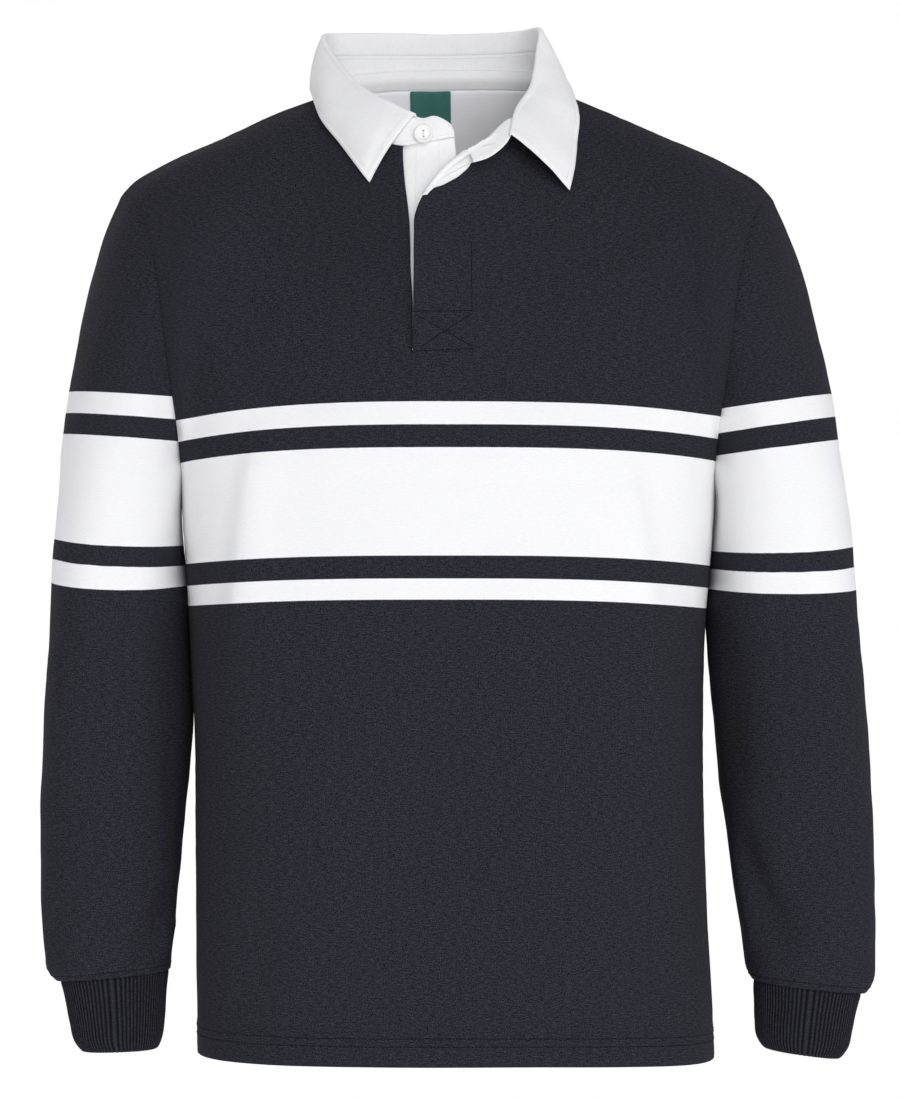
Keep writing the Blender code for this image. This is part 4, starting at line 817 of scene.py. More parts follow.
sleeves, sleeve_angles = {}, {}
for side, seed in SLEEVE_SEEDS.items():
    grid, angles = sleeve_grid(side)
    normals = surface_normals(grid, ring=True)
    around = np.broadcast_to(angles, grid.shape[:2])
    height = crease_height(around, grid[..., 2], SLEEVE_CREASES[side], turn=True)
    height += wobble(grid, *SLEEVE_BROAD_WAVE, seed) + wobble(grid, *SLEEVE_SMALL_WAVE, seed + SMALL_SEED)
    from_armhole = distances(grid)
    from_cuff = from_armhole[-1] - from_armhole
    from_seam = np.minimum(from_armhole, from_cuff)
    near_cuff = np.exp(-(from_cuff / GATHER_REACH) ** 2)
    height += near_cuff * wobble(grid * PUCKER_LONG, *SLEEVE_GATHERS, seed + GATHER_SEED)
    height *= ease(from_seam / SLEEVE_FROM_SEAM)
    height += seam_relief(from_seam, grid, seed)
    height -= SLEEVE_HEM_PINCH * np.exp(-((from_cuff - SLEEVE_HEM_ROW) / SLEEVE_HEM_WIDTH) ** 2)
    sleeves[side] = grid + normals * height[..., None]
    sleeve_angles[side] = angles
    print("sleeve", side, "girth at the top", round(float(distances(grid[HEAD_ROWS])[-1])), "mm")

# %% [markdown]
# ## Cloth walls
# Real cloth has two faces and a rounded edge. `shell` joins an outer and an inner grid into one closed
# body, with a bulging rim round every open edge. It also lays the panel's cut out flat: the UV map called
# `cut` holds each point's place on the uncut cloth in metres, across and up, which is what stripes and knit
# follow.

# %% The wall builder
RIM_BULGE = 0.42


def add_mesh(name, points, faces, material):
    """An object at the origin from points in millimetres."""
    mesh = bpy.data.meshes.new(name)
    mesh.from_pydata((np.asarray(points) * MM).tolist(), [], np.asarray(faces).tolist())
    mesh.shade_smooth()
    if material:
        mesh.materials.append(material)
    return add_object(name, mesh)


def shell(name, outer, inner, cut, material, ring=False, kept=None, marks=None):
    """One closed wall between two grids of points, from the cells that are kept.

    cut is each point's place on the flat cloth, and marks are further attributes of the points.
    """
    rows, columns = outer.shape[:2]
    row, column = (a.ravel() for a in np.mgrid[0:rows - 1, 0:columns if ring else columns - 1])
    if kept is not None:
        row, column = row[kept.ravel()], column[kept.ravel()]

    def corners(width, beside):
        return np.stack([row * width + column, row * width + beside,
                         (row + 1) * width + beside, (row + 1) * width + column], axis=1)

    face = corners(columns, (column + 1) % columns)
    flat = corners(cut.shape[1], column + 1)
    outside, inside = outer.reshape(-1, 3), inner.reshape(-1, 3)
    a, b, c, d = (outside[face[:, k]] for k in range(4))
    if np.sum(np.cross(c - a, d - b) * (outside - inside)[face[:, 0]]) < 0:
        face, flat = face[:, ::-1], flat[:, ::-1]
    count = rows * columns
    start, end = face.ravel(), np.roll(face, -1, axis=1).ravel()
    cut_start, cut_end = flat.ravel(), np.roll(flat, -1, axis=1).ravel()
    border = ~np.isin(start * count + end, end * count + start)
    start, end, cut_start, cut_end = (x[border] for x in (start, end, cut_start, cut_end))
    edge, where = np.unique(np.concatenate([start, end]), return_inverse=True)
    thick = outside - inside
    push = unit(np.cross(outside[end] - outside[start], thick[start]))
    total = np.zeros((len(edge), 3))
    np.add.at(total, where, np.concatenate([push, push]))
    depth = np.linalg.norm(thick[edge], axis=1, keepdims=True)
    middle = (outside[edge] + inside[edge]) / 2 + unit(total) * depth * RIM_BULGE
    first, last = 2 * count + where[:len(start)], 2 * count + where[len(start):]
    faces = np.concatenate([face, face[:, ::-1] + count, np.stack([end, start, first, last], axis=1),
                            np.stack([last, first, start + count, end + count], axis=1)])
    rim_cut = np.stack([cut_end, cut_start, cut_start, cut_end], axis=1)
    cuts = np.concatenate([flat, flat[:, ::-1], rim_cut, rim_cut])
    points = np.concatenate([outside, inside, middle])
    used, renumbered = np.unique(faces, return_inverse=True)
    thing = add_mesh(name, points[used], renumbered.reshape(faces.shape), material)
    layer = thing.data.uv_layers.new(name="cut")
    layer.uv.foreach_set("vector", (cut.reshape(-1, 2)[cuts.ravel()] * MM).astype(np.float32).ravel())
    for label, values in (marks or {}).items():
        values = values.ravel()
        values = np.concatenate([values, values * (label == "around"), values[edge]])[used]
        attribute = thing.data.attributes.new(label, "FLOAT", "POINT")
        attribute.data.foreach_set("value", values.astype(np.float32))
    return thing


def flat_cut(grid, ring=False):
    """A plain cut for a small piece: distance across and along its own grid, in millimetres."""
    wide = closed(grid) if ring else grid
    across = widths(wide)
    return np.stack([across - across[:, -1:] / 2, -distances(wide)], axis=-1)


def sewn(thing, node, flat):
    """Hangs a piece of cloth on the shirt's body, hides the solid it stands for and prints the size it was
    cut to.
    """
    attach(thing, "root")
    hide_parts(node)
    print(thing.name, len(thing.data.polygons), "faces, cut", flat)
    return thing


print("a wall has an outside, an inside and a rounded rim")

# %% [markdown]
# ## Nodes in few words
# Materials and Geometry Nodes are both trees of nodes. `grow` adds one node and sets or links its sockets,
# `maths` adds one Math node, and `principled` starts a material, so that each recipe below reads from top
# to bottom.

# %% Node helpers
CLOTH_GLOSS = 0.03
SHEEN_ROUGHNESS = 0.5


def grow(tree, kind, inputs=None, **settings):
    """One node. inputs maps a socket's name or number to a value or to another node's output."""
    made = tree.nodes.new(kind)
    for name, value in settings.items():
        setattr(made, name, value)
    for name, value in (inputs or {}).items():
        if isinstance(value, bpy.types.NodeSocket):
            tree.links.new(value, made.inputs[name])
        else:
            made.inputs[name].default_value = value
    return made


def maths(tree, operation, *values):
    """The output of one Math node."""
    return grow(tree, "ShaderNodeMath", dict(enumerate(values)), operation=operation).outputs[0]


def principled(name, values):
    """A new material with some sockets of its Principled node set, its tree and that node."""
    material = bpy.data.materials.new(name)
    material.use_nodes = True
    shader = material.node_tree.nodes["Principled BSDF"]
    for socket, value in values.items():
        shader.inputs[socket].default_value = value
    return material, material.node_tree, shader


def raised(tree, shader, strength, depth, height):
    """Bump in a material, from a height recipe's output. depth is in millimetres."""
    relief = grow(tree, "ShaderNodeBump", {"Strength": strength, "Distance": depth * MM, "Height": height})
    tree.links.new(relief.outputs["Normal"], shader.inputs["Normal"])


def cloth(name, roughness, sheen, bump, depth, colour, height):
    """A Principled material whose colour and height come from two recipes that are given the tree."""
    material, tree, shader = principled(name, {
        "Roughness": roughness, "Sheen Weight": sheen, "Sheen Roughness": SHEEN_ROUGHNESS,
        "Specular IOR Level": CLOTH_GLOSS})
    tree.links.new(colour(tree), shader.inputs["Base Color"])
    raised(tree, shader, bump, depth, height(tree))
    return material


print("helpers ready")

# %% [markdown]
# ## Jersey, rib and twill
# Jersey is knitted: columns of V-shaped loops, about 1.3 mm wide and 1 mm high. The stripes are knitted in,
# so their edges follow the loops, and they sit at heights of the cut, not of the shirt: a ColorRamp with
# hard steps reads the cut's height. Slubs, the thick and thin places of cotton yarn, show as short streaks
# along a course. Twill is woven: fine diagonal lines. Rib is the same yarn as jersey, seen as columns only,
# with shade painted into the grooves between them.

# %% Materials
LOOP_WIDE = 1.3
LOOP_HIGH = 1.0
STRIPE_TOP = -225.0
STRIPE_SPAN = 180.0
STRIPES = [-240.0, -256.5, -273.3, -353.0, -369.9, -385.3]
NAVY = (0.0035, 0.0035, 0.0070, 1)
NAVY_LIGHT = (0.0590, 0.0590, 0.0760, 1)
RIB_NAVY = (0.0100, 0.0100, 0.0150, 1)
RIB_LIGHT = (0.0600, 0.0600, 0.0760, 1)
# painted shade: the colour of the grooves between the ribs, darker than the yarn itself
RIB_GROOVE_PAINTED_SHADE = (0.0060, 0.0060, 0.0085, 1)
RIBS = 84
WHITE = (0.92, 0.92, 0.935, 1)
WHITE_SLUB = (0.82, 0.82, 0.85, 1)
TWILL_WHITE = (0.90, 0.90, 0.905, 1)
TWILL_SHADE = (0.84, 0.84, 0.86, 1)
FACING_GREY = (0.96, 0.96, 0.99, 1)
FACING_SHADE = (0.92, 0.92, 0.96, 1)
LABEL_GREEN = (0.062, 0.190, 0.165, 1)
LABEL_SHADE = (0.044, 0.145, 0.125, 1)
BLACK = (0, 0, 0, 1)
FULL = (1, 1, 1, 1)
FLUFF = (0.9, 0.7, 3.0)
FLUFF_RISE = 0.9
FLUFF_STEPS = (0.38, 0.72)
FLUFF_SHARE = 0.80
SLUB = (5.0, 1.0, 2.0)
SLUB_STEPS = (0.42, 0.74)
SLUB_SHARE = 0.30
EDGE_SLANT = 0.45
EDGE_GRAIN = 1.4
EDGE_ROUGH = 0.5
TWILL_LINE = 0.9
TWILL_GRAIN = (0.8, 0.8, 3.0)
BROAD_TONE = (14, 26, 2.0)
BROAD_TONE_STEPS = (0.35, 0.7)
BROAD_TONE_SHARE = 0.4
FINE_TONE_STEPS = (0.40, 0.75)
FINE_TONE_SHARE = 0.6


def cut_place(tree):
    """Across and up on the flat cut, in millimetres."""
    mapped = grow(tree, "ShaderNodeUVMap", uv_map="cut")
    parts = grow(tree, "ShaderNodeSeparateXYZ", {0: mapped.outputs[0]})
    return [maths(tree, "MULTIPLY", parts.outputs[axis], 1 / MM) for axis in (0, 1)]


def grain(tree, across, up, detail=2.0):
    """Noise on the cut, with its own size across and up."""
    u, v = cut_place(tree)
    parts = {0: maths(tree, "DIVIDE", u, across), 1: maths(tree, "DIVIDE", v, up)}
    place = grow(tree, "ShaderNodeCombineXYZ", parts).outputs[0]
    return grow(tree, "ShaderNodeTexNoise", {"Vector": place, "Scale": 1.0, "Detail": detail}).outputs[0]


def leg(tree):
    """How far a point is from the middle of its column of loops: 0 in the middle, 1 at its sides."""
    u, _ = cut_place(tree)
    part = maths(tree, "FRACT", maths(tree, "DIVIDE", u, LOOP_WIDE))
    return maths(tree, "MULTIPLY", maths(tree, "ABSOLUTE", maths(tree, "SUBTRACT", part, 0.5)), 2.0)


def loops(tree):
    """Height of the knitted loops, with a little fluff."""
    _, v = cut_place(tree)
    away = leg(tree)
    slanted = maths(tree, "ADD", maths(tree, "DIVIDE", v, LOOP_HIGH), maths(tree, "MULTIPLY", away, 0.5))
    course_wave = maths(tree, "SINE", maths(tree, "MULTIPLY", slanted, 2 * math.pi))
    leg_wave = maths(tree, "SINE", maths(tree, "MULTIPLY", away, math.pi))
    knit = maths(tree, "MULTIPLY", leg_wave, maths(tree, "MULTIPLY_ADD", course_wave, 0.3, 0.7))
    return maths(tree, "MULTIPLY_ADD", grain(tree, *FLUFF), FLUFF_RISE, knit)


def colour_mix(tree, share, low, high):
    """A colour between two. Mix has several sockets of one name, so they are set by their place."""
    mix = grow(tree, "ShaderNodeMix", data_type="RGBA")
    for place, value in ((0, share), (6, low), (7, high)):
        if isinstance(value, bpy.types.NodeSocket):
            tree.links.new(value, mix.inputs[place])
        else:
            mix.inputs[place].default_value = value
    return mix.outputs[2]


def steps(tree, value, low, high):
    """Value spread from low..high to 0..1."""
    return grow(tree, "ShaderNodeMapRange", {"Value": value, "From Min": low, "From Max": high}).outputs[0]


def two_grains(tree, first, first_share, second, second_share):
    """The weighted sum of two values."""
    return maths(tree, "ADD", maths(tree, "MULTIPLY", first, first_share),
                 maths(tree, "MULTIPLY", second, second_share))


def speckle(tree, low, high):
    """Two tones of yarn: fluff, and slubs along the course."""
    fine = steps(tree, grain(tree, *FLUFF), *FLUFF_STEPS)
    slub = steps(tree, grain(tree, *SLUB), *SLUB_STEPS)
    return colour_mix(tree, two_grains(tree, fine, FLUFF_SHARE, slub, SLUB_SHARE), low, high)


def striped(tree):
    """Navy jersey with its knitted chest stripes."""
    _, v = cut_place(tree)
    edge = maths(tree, "ADD", v, maths(tree, "MULTIPLY", leg(tree), EDGE_SLANT))
    uneven = maths(tree, "MULTIPLY", grain(tree, EDGE_GRAIN, EDGE_GRAIN), EDGE_ROUGH)
    low = STRIPE_TOP - STRIPE_SPAN
    place = steps(tree, maths(tree, "ADD", edge, uneven), low, STRIPE_TOP)
    ramp = grow(tree, "ShaderNodeValToRGB", {0: place})
    ramp.color_ramp.interpolation = "CONSTANT"
    ramp.color_ramp.elements[0].color = BLACK
    ramp.color_ramp.elements[1].position = 1.0
    ramp.color_ramp.elements[1].color = BLACK
    for k, height in enumerate(sorted(STRIPES)):
        stop = ramp.color_ramp.elements.new((height + EDGE_SLANT - STRIPE_TOP + STRIPE_SPAN) / STRIPE_SPAN)
        stop.color = FULL if k % 2 == 0 else BLACK
    navy, white = speckle(tree, NAVY, NAVY_LIGHT), speckle(tree, WHITE, WHITE_SLUB)
    return colour_mix(tree, ramp.outputs[0], navy, white)


def ribbed(tree):
    """Rib yarn, with painted shade: its colour is darker down in the grooves between the ribs."""
    turn = grow(tree, "ShaderNodeAttribute", attribute_name="around").outputs["Fac"]
    wave = maths(tree, "COSINE", maths(tree, "MULTIPLY", turn, 2 * math.pi * RIBS))
    crest = maths(tree, "MULTIPLY_ADD", wave, 0.5, 0.5)
    # painted shade: the cosine of the rib wave darkens the colour in each groove
    return colour_mix(tree, crest, RIB_GROOVE_PAINTED_SHADE, speckle(tree, RIB_NAVY, RIB_LIGHT))


def diagonal(tree):
    """Height of twill: fine lines that climb to one side."""
    u, v = cut_place(tree)
    line = maths(tree, "SINE", maths(tree, "MULTIPLY", maths(tree, "ADD", u, v), 2 * math.pi / TWILL_LINE))
    return maths(tree, "ADD", line, grain(tree, *TWILL_GRAIN))


def two_tone(low, high, across=1.4, up=5.0):
    """A recipe for cloth of two near tones, in broad clouds and in fine streaks of a size across and up."""
    def colour(tree):
        broad = steps(tree, grain(tree, *BROAD_TONE), *BROAD_TONE_STEPS)
        fine = steps(tree, grain(tree, across, up, 3.0), *FINE_TONE_STEPS)
        return colour_mix(tree, two_grains(tree, broad, BROAD_TONE_SHARE, fine, FINE_TONE_SHARE), low, high)
    return colour


jersey = cloth("striped_jersey", 0.92, 0.02, 0.5, 0.22, striped, loops)
rib = cloth("rib_knit", 0.92, 0.02, 0.5, 0.2, ribbed, loops)
twill = cloth("collar_twill", 0.85, 0.0, 0.25, 0.10, two_tone(TWILL_WHITE, TWILL_SHADE), diagonal)
facing = cloth("pale_facing", 0.9, 0.0, 0.4, 0.15, two_tone(FACING_GREY, FACING_SHADE), loops)
satin = cloth("label_satin", 0.45, 0.0, 0.3, 0.1, two_tone(LABEL_GREEN, LABEL_SHADE, 0.5, 6.0), diagonal)
print("materials:", [m.name for m in (jersey, rib, twill, facing, satin)])

# %% [markdown]
# ## Sewing body and sleeves
# Front and back share the points of their side and shoulder seams, and the sleeves those of the armholes.
# Each wall is then pulled back from its seam by half a gap, so the pieces lie edge to edge and don't cut
# into each other.

# %% Body and sleeves
def seam_normals(edge, inside_a, inside_b, out_a, out_b):
    """The direction that parts two walls which meet along an edge."""
    along = unit(np.gradient(edge, axis=0))

    def square_to(vectors):
        return unit(vectors - np.sum(vectors * along, axis=1, keepdims=True) * along)

    into_a, into_b = square_to(inside_a - edge), square_to(inside_b - edge)
    face_a, face_b = square_to(out_a), square_to(out_b)
    valley = np.sign(np.sum(face_a * into_b, axis=1, keepdims=True) + 1e-6)
    fold = 0.5 * valley * (into_a + into_b)
    return unit(face_a + face_b + fold)


def pulled(edge, inside, normal):
    """An edge moved off its seam by half the gap, square to the seam's own normals."""
    off = unit(np.cross(normal, unit(np.gradient(edge, axis=0))))
    side = np.sign(np.sum(off * (inside - edge), axis=1, keepdims=True))
    return edge + off * side * SEAM_GAP / 2


SAG = table("z right left", [
    (-750, 0, 5),
    (-573, 5, 7),
    (-400, 6, 8),
    (-300, 9, 8.5),
    (-240, 13, 9.5),
    (-120, 18, 16),
])
SLEEVE_STRIPES = {
    -1: table("outer inner bend", [
        (-228.9, -236.3, 0),
        (-244.7, -252.3, 0),
        (-260.4, -268.0, 0),
        (-340.3, -345.7, 3),
        (-355.3, -361.0, 3),
        (-373.8, -376.3, 4),
    ]),
    1: table("outer inner bend", [
        (-230.1, -247.0, 0),
        (-247.0, -263.8, 0),
        (-264.6, -279.1, 0),
        (-346.5, -349.9, 3),
        (-361.8, -363.3, 3),
        (-379.4, -378.6, 3),
    ]),
}


def body_cut(grid, middle):
    """Flat cut of a body panel: across from its middle column, and the height of the knitted course."""
    across = widths(grid)
    x, z = grid[..., 0], grid[..., 2]
    reach = np.where(x < 0, -grid[:, :1, 0], grid[:, -1:, 0])
    sag = np.where(x < 0, read(SAG, "z", "right", z), read(SAG, "z", "left", z))
    return np.stack([across - across[:, middle:middle + 1], z + sag * np.abs(x / reach) ** 3], axis=-1)


def sleeve_cut(grid, angles, side):
    """Flat cut of a sleeve, its height set so that the stripes meet the sleeve's own marks."""
    wide = closed(grid)
    across = widths(wide)
    inward = (1 + np.cos(np.radians(np.append(angles, 360.0)))) / 2
    rows = zip(*(SLEEVE_STRIPES[side][name] for name in ("outer", "inner", "bend")))
    marks = np.array([a * (1 - inward) + b * inward - 4 * c * inward * (1 - inward) for a, b, c in rows])
    z = wide[..., 2]
    height = z + (STRIPES[0] - marks[0])
    for k in range(len(STRIPES) - 1):
        share = (z - marks[k]) / (marks[k + 1] - marks[k])
        height = np.where(share > 0, STRIPES[k] + share * (STRIPES[k + 1] - STRIPES[k]), height)
    height = np.where(z < marks[-1], STRIPES[-1] + z - marks[-1], height)
    return np.stack([across - across[:, -1:] / 2, height], axis=-1)


base = LOWER_ROWS
count = SHOULDER_COLUMNS + 1
for side, column in ((-1, 0), (1, -1)):
    strip = slice(0, count) if side < 0 else slice(-count, None)
    side_seam = (panels[-1][:base + 1, column] + panels[1][:base + 1, column]) / 2
    shoulder_seam = (panels[-1][-1, strip] + panels[1][-1, strip]) / 2
    for panel in (-1, 1):
        panels[panel][:base + 1, column] = side_seam
        panels[panel][base:, column] = armhole(panel, side, upper_places)
        panels[panel][-1, strip] = shoulder_seam
    sleeves[side][0] = np.concatenate([panels[-1][base:, column], panels[1][-2:base:-1, column]])

cores = {panel: panels[panel] * UPRIGHT + BODY_CORE for panel in (-1, 1)}
facings = {panel: surface_normals(panels[panel], cores[panel]) for panel in (-1, 1)}
for half in (slice(0, slit_cell + 1), slice(slit_cell + 1, None)):
    facings[-1][foot:, half] = surface_normals(panels[-1][:, half], cores[-1][:, half])[foot:]
round_facings = {side: surface_normals(sleeves[side], ring=True) for side in (-1, 1)}
outer = {panel: panels[panel].copy() for panel in (-1, 1)}

for side, column, beside in ((-1, 0, 1), (1, -1, -2)):
    strip = slice(0, count) if side < 0 else slice(-count, None)
    seams = [(slice(0, base + 1), column, beside), (-1, strip, None)]
    for row, across, near in seams:
        inside = [panels[p][row, near] if near is not None else panels[p][-2, strip] for p in (-1, 1)]
        edge = panels[-1][row, across]
        shared = seam_normals(edge, *inside, facings[-1][row, across], facings[1][row, across])
        for panel, into in zip((-1, 1), inside):
            facings[panel][row, across] = shared
            outer[panel][row, across] = pulled(edge, into, shared)
    loop = sleeves[side][0]
    into_body = np.concatenate([panels[-1][base:, beside], panels[1][-2:base:-1, beside]])
    into_body[0] = panels[-1][base - 1, column]
    into_body[UPPER_ROWS] = panels[-1][-1, beside]
    face = np.concatenate([facings[-1][base:, column], facings[1][-2:base:-1, column]])
    looped = [np.concatenate([a[-1:], a, a[:1]]) for a in (loop, into_body, sleeves[side][1], face,
                                                          round_facings[side][0])]
    shared = seam_normals(*looped)
    body_edge = pulled(looped[0], looped[1], shared)[1:-1]
    sleeve_edge = pulled(looped[0], looped[2], shared)[1:-1]
    shared, step = shared[1:-1], body_edge - loop
    outer[-1][base:, column] += step[:UPPER_ROWS + 1]
    outer[1][base, column] += step[0]
    outer[1][base + 1:, column] += step[:UPPER_ROWS - 1:-1]
    facings[-1][base:, column] = shared[:UPPER_ROWS + 1]
    facings[1][base, column] = shared[0]
    facings[1][base + 1:, column] = shared[:UPPER_ROWS - 1:-1]
    round_facings[side][0] = shared
    sleeves[side][0] = sleeve_edge

kept = np.ones((LOWER_ROWS + UPPER_ROWS, len(shares[-1]) - 1), bool)
kept[foot:, slit_cell] = False
pieces = {
    "front": shell("front_cloth", outer[-1], outer[-1] - facings[-1] * JERSEY,
                   body_cut(outer[-1], slit_cell), jersey, kept=kept),
    "back": shell("back_cloth", outer[1], outer[1] - facings[1] * JERSEY,
                  body_cut(outer[1], outer[1].shape[1] // 2), jersey),
}
for side, name in ((-1, "right"), (1, "left")):
    round_facings[side][-1] = unit(round_facings[side][-1] * LEVEL)
    inner = sleeves[side] - round_facings[side] * JERSEY
    inner[-1, :, 2] = sleeves[side][-1, :, 2]
    pieces[f"sleeve_{name}"] = shell(f"sleeve_{name}_cloth", sleeves[side], inner,
                                     sleeve_cut(sleeves[side], sleeve_angles[side], side), jersey, ring=True)
print({name: len(piece.data.polygons) for name, piece in pieces.items()})

# %% [markdown]
# ## Ribbed cuffs
# A rib is a rule: the same small wave, repeated all the way round. So the cuff starts as a plain tube, and
# Geometry Nodes push its outside in and out along its own normals. The tree has three inputs, the number of
# ribs, how high they stand and the material. Each point carries `around`, its share of the way round, and
# `swell`, which lets the ribs die out at the seam and at the open edge.

# %% Rib tree and cuffs
RIB_RISE = 0.75
RIB_POINTS = 6
RIB_LOW = 0.35
RIB_FADE_TOP = 0.07
RIB_FADE_FOOT = 0.05
CUFF_ROWS = 30
CUFF_WAVE = (22, 0.9)
CUFF_LONG = np.array([1, 1, 0.6])
CUFF_CALM = 0.2
CUFF_SEEDS = {"right": 31.0, "left": 37.0}


def new_tree(name, inputs):
    """An empty node group with geometry in and out and named inputs."""
    tree = bpy.data.node_groups.new(name, "GeometryNodeTree")
    tree.interface.new_socket("Geometry", in_out="INPUT", socket_type="NodeSocketGeometry")
    tree.interface.new_socket("Geometry", in_out="OUTPUT", socket_type="NodeSocketGeometry")
    for label, kind in inputs.items():
        tree.interface.new_socket(label, in_out="INPUT", socket_type=kind)
    return tree, grow(tree, "NodeGroupInput"), grow(tree, "NodeGroupOutput")


def tree_end(tree, given, result, shape):
    """Every tree ends alike: its copies are made real and take the material."""
    real = grow(tree, "GeometryNodeRealizeInstances", {0: shape})
    look = {0: real.outputs[0], "Material": given.outputs["Material"]}
    painted = grow(tree, "GeometryNodeSetMaterial", look)
    tree.links.new(painted.outputs[0], result.inputs[0])
    return tree


def socket_of(sockets, name):
    """The socket of a name that a node shows: some have one for each kind of value."""
    return next(socket for socket in sockets if socket.enabled and socket.name == name)


def named(tree, label):
    """The value of a point attribute."""
    made = grow(tree, "GeometryNodeInputNamedAttribute", {"Name": label}, data_type="FLOAT")
    return socket_of(made.outputs, "Attribute")


def rib_tree():
    """Pushes a tube in and out along its normals, in even waves round it."""
    tree, given, result = new_tree("ribs", {"Ribs": "NodeSocketFloat", "Rise": "NodeSocketFloat",
                                            "Material": "NodeSocketMaterial"})
    turns = maths(tree, "MULTIPLY", named(tree, "around"), given.outputs["Ribs"])
    wave = maths(tree, "COSINE", maths(tree, "MULTIPLY", turns, 2 * math.pi))
    crest = maths(tree, "MULTIPLY_ADD", wave, 0.5, 0.5)
    swollen = maths(tree, "MULTIPLY", crest, named(tree, "swell"))
    high = maths(tree, "MULTIPLY", swollen, given.outputs["Rise"])
    outward = grow(tree, "GeometryNodeInputNormal").outputs[0]
    step = grow(tree, "ShaderNodeVectorMath", {0: outward, "Scale": high}, operation="SCALE").outputs[0]
    tube = given.outputs["Geometry"]
    moved = grow(tree, "GeometryNodeSetPosition", {"Geometry": tube, "Offset": step})
    return tree_end(tree, given, result, moved.outputs[0])


def plain_mesh(thing, tree, values):
    """Runs a tree on an object and keeps the result as its plain mesh."""
    modifier = thing.modifiers.new(tree.name, "NODES")
    modifier.node_group = tree
    for item in tree.interface.items_tree:
        if item.item_type == "SOCKET" and item.in_out == "INPUT" and item.name in values:
            modifier[item.identifier] = values[item.name]
    graph = bpy.context.evaluated_depsgraph_get()
    made = bpy.data.meshes.new_from_object(thing.evaluated_get(graph))
    thing.modifiers.remove(modifier)
    made.name = thing.name
    thing.data = made
    made.shade_smooth()
    return thing


ribs, cuffs = rib_tree(), {}
for name, rows in (("right", CUFF_RIGHT), ("left", CUFF_LEFT)):
    angles = np.linspace(0, 2 * math.pi, RIB_POINTS * RIBS, endpoint=False)
    top, foot_z = rows["z"][0] - SEAM_GAP, rows["z"][-1]
    levels = np.linspace(top, foot_z, CUFF_ROWS)
    grid = np.stack([ring_points(rows, z, angles) for z in levels])
    normals = surface_normals(grid, ring=True)
    share = np.linspace(0, 1, CUFF_ROWS)[:, None]
    height = wobble(grid * CUFF_LONG, *CUFF_WAVE, CUFF_SEEDS[name])
    height *= ease(share / CUFF_CALM) * ease((1 - share) / CUFF_CALM)
    normals[[0, -1]] = unit(normals[[0, -1]] * LEVEL)
    grid = grid + normals * height[..., None]
    around = np.broadcast_to(np.arange(len(angles)) / len(angles), grid.shape[:2])
    full = ease(share / RIB_FADE_TOP) * ease((1 - share) / RIB_FADE_FOOT)
    swell = np.broadcast_to(RIB_LOW + (1 - RIB_LOW) * full, grid.shape[:2])
    cuffs[name] = grid
    cuff = shell(f"cuff_{name}_rib", grid, grid - normals * JERSEY, flat_cut(grid, ring=True), None,
                 ring=True, marks={"around": around, "swell": swell})
    values = {"Ribs": float(RIBS), "Rise": RIB_RISE * MM, "Material": rib}
    pieces[f"cuff_{name}"] = plain_mesh(cuff, ribs, values)
    print("cuff", name, len(cuff.data.polygons), "faces,", RIBS, "ribs")

# %% [markdown]
# ## The collar
# The collar is two pieces. The stand is a band that follows the neck seam, and the leaf rises from its top
# edge, rolls over and falls to its free edge. The roll line climbs from the button to the back neck, so the
# leaf is wide behind and narrow in front. A row of stitching 5 mm inside its edge pinches the twill a
# little.

# %% Stand and leaf
STAND_STEPS = 12
STAND_END_ROUND = 2.6
STAND_CORNER_FROM = 0.45
STAND_CORNER_REACH = 3.0
STAND_WAVE = (16, 0.35, 51.0)
BUTTON_END_COLUMNS = 16
LEAF_START_COLUMNS = 4
LEAF_FROM = 3.35
STAND_CORE = (-8, 0, 0)
NECK_SIDE_ROWS = 6
ROLL_ANGLES = 13
FALL_ROWS = 34
COLLAR_STITCH = 5.0
COLLAR_EDGE = (0.28, 2.4, 1.7)
COLLAR_PINCH = (0.34, 0.9)
COLLAR_PUCKER = (9, 0.35, 63.0)
LEAF_WAVE = (34, 1.1, 67.0)
LEAF_CALM_TOP = 12.0
LEAF_CALM_EDGE = 8.0
LEAF_NEAR = np.array([1, 1, 0.3])
LEAF_READINGS = 4000
LEAF_EVENING = 12


def stand_stations():
    """Places along the stand: its button end, then the body's own neckline columns."""
    rows = np.arange(len(neck_seam), dtype=float)

    def spread(first, last, count):
        part = distances(neck_seam[first:last + 1])
        return np.interp(np.linspace(0, part[-1], count + 1), part, rows[first:last + 1])

    return np.concatenate([
        np.linspace(0, LEAF_FROM, BUTTON_END_COLUMNS, endpoint=False),
        np.linspace(LEAF_FROM, STAND_BUTTON_END, LEAF_START_COLUMNS, endpoint=False),
        spread(STAND_BUTTON_END, STAND_RIGHT_POINT, FRONT_NECK_RIGHT)[:-1],
        spread(STAND_RIGHT_POINT, STAND_LEFT_POINT, NECK_COLUMNS)[:-1],
        spread(STAND_LEFT_POINT, len(neck_seam) - 1, FRONT_NECK_LEFT),
    ])


def stand_grid(rows, steps):
    """The neck side of the stand, from the neck seam (0) to its top edge (1)."""
    count = np.arange(len(neck_seam), dtype=float)
    seam = smooth(count, neck_seam, rows)
    top = smooth(count, points_of(STAND, "top_x top_y top_z"), rows)
    curl = smooth(count, STAND["curl"], rows)
    f = np.linspace(0, 1, steps + 1)[:, None, None]
    rise = 4 * f * (1 - f) * curl[None, :, None] * unit(CURL)
    low = seam + UPRIGHT * STAND_LIFT
    return low + (top - low) * f + rise


leaf_roll = points_of(LEAF, "roll_x roll_y roll_z")
leaf_edge = points_of(LEAF, "edge_x edge_y edge_z")
leaf_count = np.arange(len(leaf_roll), dtype=float)


